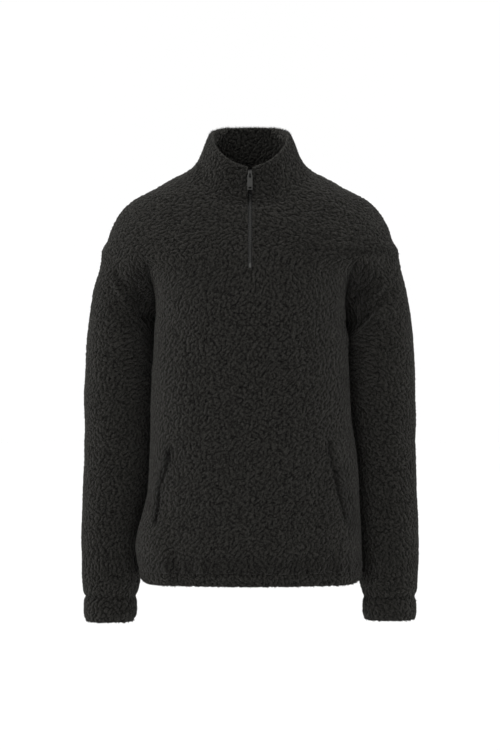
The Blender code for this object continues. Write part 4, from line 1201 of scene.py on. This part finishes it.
def zip_teeth():
    """The two rows of teeth, black at the top as a painted shadow, where they lie sunk between the
    collar's edges.
    """
    line, along, inward, far = zip_path()
    shape, shape_faces = tooth_shape()
    points, faces = [], []
    across = np.array([1.0, 0.0, 0.0])
    for i, place in enumerate(np.arange(TOOTH_START, far[-1], TOOTH_PITCH / 2)):
        middle, down, inner = (
            np.array([np.interp(place, far, rows[:, k]) for k in range(3)])
            for rows in (line, along, inward)
        )
        side = 1 if i % 2 else -1
        middle = middle + inner * TOOTH_DEEP / 2 + across * side * TOOTH_ASIDE
        turned = shape[:, :1] * across + shape[:, 1:2] * unit(down) - shape[:, 2:] * unit(inner)
        points.append(middle + turned)
        faces.append(shape_faces + i * len(shape))
    teeth = add_object("zip_teeth", np.concatenate(points), np.concatenate(faces), MATERIALS["teeth"])
    teeth.data.materials.append(MATERIALS["black"])
    for face in teeth.data.polygons:
        face.material_index = int(face.center.z > BLACK_ABOVE * MM)
    return teeth


def zip_backing(side):
    """The narrow strip of tape that shows beside the teeth."""
    line, _, inward, _ = zip_path()
    line, inward = line[::3], inward[::3]
    face, back = STRIP_SUNK, STRIP_SUNK + STRIP_WALL
    outline = ((STRIP_NEAR, face), (SLIT_HALF, face), (SLIT_HALF, back), (STRIP_NEAR, back))
    loops = np.array([[p + (side * x, 0, 0) + n * d for x, d in outline] for p, n in zip(line, inward)])
    piece = Piece("zip_tape_face_" + ("left" if side > 0 else "right"))
    index = piece.add(loops, 0.0)
    piece.grid(index, wrap=True)
    for end in (0, -1):
        piece.faces.append(np.array([index[end, [0, 1, 2]], index[end, [0, 2, 3]]]))
    return piece.build(piece.name, MATERIALS["tape"])


def darken_bail(slider):
    """The bail is black, a painted shadow: the slider's faces that stand out the furthest from the cloth.
    """
    out = Vector((0.0, -ZIP_LEAN_OUT[0], ZIP_LEAN_OUT[1]))
    place = slider.matrix_world
    heights = [(place @ face.center).dot(out) for face in slider.data.polygons]
    slider.data.materials.append(MATERIALS["black"])
    for face, height in zip(slider.data.polygons, heights):
        face.material_index = int(height > max(heights) - BAIL_TALL * MM)


# ---- materials


def node(tree, kind, wires=(), **values):
    """A node with values in its settings and its sockets by name. wires go to its first sockets, each an
    output of another node or a number."""
    made = tree.nodes.new(kind)
    for key, value in values.items():
        if key in made.inputs:
            made.inputs[key].default_value = value
        else:
            setattr(made, key, value)
    for socket, wire in zip(made.inputs, wires):
        if isinstance(wire, float):
            socket.default_value = wire
        else:
            tree.links.new(wire, socket)
    return made


def new_material(name, values):
    """A material, its nodes and its shader, with these values in the shader's sockets."""
    made = bpy.data.materials.new(name)
    made.use_nodes = True
    shader = made.node_tree.nodes["Principled BSDF"]
    for key, value in values.items():
        shader.inputs[key].default_value = value
    return made, made.node_tree, shader


def plain_material(name, colour, rough, metal=0.0):
    return new_material(name, {"Base Color": (*colour, 1), "Roughness": rough, "Metallic": metal})[0]


def times(tree, a, b):
    made = node(tree, "ShaderNodeMix", data_type="RGBA", blend_type="MULTIPLY")
    made.inputs["Factor"].default_value = 1.0
    tree.links.new(a, made.inputs["A"])
    tree.links.new(b, made.inputs["B"])
    return made.outputs["Result"]


def speckle(tree, scale):
    """Fine noise of this many cells to a metre, from about 0 to 1."""
    where = node(tree, "ShaderNodeTexCoord").outputs["Object"]
    noise = node(tree, "ShaderNodeTexNoise", [where], Scale=scale, **SPECKLE_FORM)
    return node(tree, "ShaderNodeMapRange", [noise.outputs["Fac"], *SPECKLE_RANGE]).outputs[0]


def scaled_sum(tree, a, factor, b):
    """a times factor, plus b."""
    return node(tree, "ShaderNodeMath", [a, factor, b], operation="MULTIPLY_ADD").outputs[0]


def sherpa_material():
    values = {
        "Roughness": PILE_ROUGH,
        "Specular IOR Level": PILE_SPECULAR,
        "Sheen Weight": SHEEN,
        "Sheen Roughness": SHEEN_ROUGH,
        "Sheen Tint": SHEEN_TINT,
    }
    made, tree, shader = new_material("sherpa_fleece", values)
    height, shade = (node(tree, "ShaderNodeAttribute", attribute_name=word) for word in ("pile", "shade"))
    fine = SPECKLE_BASE
    for scale, share in SPECKLES:
        fine = scaled_sum(tree, speckle(tree, scale), share, fine)
    level = scaled_sum(tree, height.outputs["Fac"], 1 - CURL_NOISE, 0.0)
    level = scaled_sum(tree, fine, CURL_NOISE, level)
    # From the grooves' colour to the tips' by the pile's height: painted shade in the grooves
    tone = node(tree, "ShaderNodeValToRGB", [level])
    for stop, at, colour in zip(tone.color_ramp.elements, (GROOVE_AT, TIP_AT), (PILE_GROOVE, PILE_TIP)):
        stop.position = at
        stop.color = (*colour, 1)
    # The shade tone multiplies the colour: painted light and shade
    colour = times(tree, tone.outputs["Color"], shade.outputs["Color"])
    tree.links.new(colour, shader.inputs["Base Color"])
    bump = node(tree, "ShaderNodeBump", Strength=1.0, Distance=BUMP_HIGH)
    tree.links.new(level, bump.inputs["Height"])
    tree.links.new(bump.outputs["Normal"], shader.inputs["Normal"])
    return made


MATERIALS = {
    "sherpa": sherpa_material(),
    "tape": plain_material("zip_tape", (0.012, 0.012, 0.0115), 0.9),
    "metal": plain_material("zip_metal", (0.07, 0.07, 0.067), 0.4, 1.0),
    "teeth": plain_material("zip_teeth", (0.075, 0.075, 0.072), 0.4, 1.0),
    "stop": plain_material("zip_stop", (0.11, 0.11, 0.106), 0.4, 1.0),
    # For the teeth in the collar and the slider's bail: a painted shadow
    "black": plain_material("zip_shadow_black", (0.008, 0.008, 0.008), 0.5, 1.0),
}


# ---- stage


def build_world():
    """White surroundings, less bright in front and brighter aside."""
    world = bpy.data.worlds.new("studio")
    world.use_nodes = True
    tree = world.node_tree
    way = node(tree, "ShaderNodeSeparateXYZ", [node(tree, "ShaderNodeTexCoord").outputs["Generated"]])
    front = [way.outputs["Y"], FRONT_EDGE, 0.0, FRONT_LIGHT, 1.0]
    back = node(tree, "ShaderNodeMapRange", front, interpolation_type="SMOOTHSTEP")
    aside = node(tree, "ShaderNodeMath", [way.outputs["X"], 2.0], operation="POWER")
    total = scaled_sum(tree, aside.outputs[0], SIDE_LIGHT, back.outputs[0])
    tree.links.new(total, tree.nodes["Background"].inputs["Strength"])
    tree.nodes["Background"].inputs["Color"].default_value = (1, 1, 1, 1)
    return world


def build_stage():
    scene = bpy.context.scene
    scene.view_settings.view_transform = "Standard"
    scene.camera = add_to_scene("camera", bpy.data.cameras.new("camera"))
    scene.camera.location = (0, -CAMERA_AWAY, CAMERA_HIGH)
    scene.camera.rotation_euler = (pi / 2, 0, 0)
    scene.camera.data.lens = CAMERA_LENS
    scene.world = build_world()
    mesh = bpy.data.meshes.new("floor")
    shape = bmesh.new()
    bmesh.ops.create_grid(shape, x_segments=1, y_segments=1, size=FLOOR_HALF)
    shape.to_mesh(mesh)
    shape.free()
    mesh.materials.append(plain_material("pale_floor", FLOOR_COLOUR, FLOOR_ROUGH))
    floor = add_to_scene("floor", mesh)
    floor.location = (0, 0, FLOOR_HIGH)
    key = add_to_scene("key", bpy.data.lights.new("key", "AREA"))
    key.data.energy, key.data.size = KEY_POWER, KEY_SIZE
    key.location = KEY_PLACE
    key.rotation_euler = (Vector((0, 0, CAMERA_HIGH)) - key.location).to_track_quat("-Z", "Y").to_euler()


# ---- scene


# The cut of the cloth that shows, in metres and square metres, measured along the solids' outside
Sheet = namedtuple("Sheet", "wide long area")


# The solids that show themselves, and their materials
SOLID_LOOKS = {
    "zip_slider": "metal",
    "zip_pull_tab": "metal",
    "zip_bottom_stop": "stop",
    "zip_tape_left": "tape",
    "zip_tape_right": "tape",
}


def declare(piece, node_name):
    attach(piece, "pullover")
    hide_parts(node_name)


def main():
    build_stage()
    for name, face, spacing in (("front_body", -1, FINE), ("back_body", 1, BACK_FINE)):
        declare(body_panel(name, face, spacing), name)
    for word, side in (("left", 1), ("right", -1)):
        declare(sleeve_piece(word, side), f"sleeve_{word}")
        declare(cuff_piece(word, side), f"cuff_{word}")
        tape = zip_backing(side)
        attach(tape, "pullover")
    declare(collar_piece(), "collar")
    declare(hem_piece(), "hem_band")
    for name, table in WELTS.items():
        declare(pocket_welt(name, table), name)
    teeth = zip_teeth()
    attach(teeth, "pullover")
    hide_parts("zip_chain")
    for name, look in SOLID_LOOKS.items():
        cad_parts[name].data.materials.clear()
        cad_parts[name].data.materials.append(MATERIALS[look])
    darken_bail(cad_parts["zip_slider"])


main()
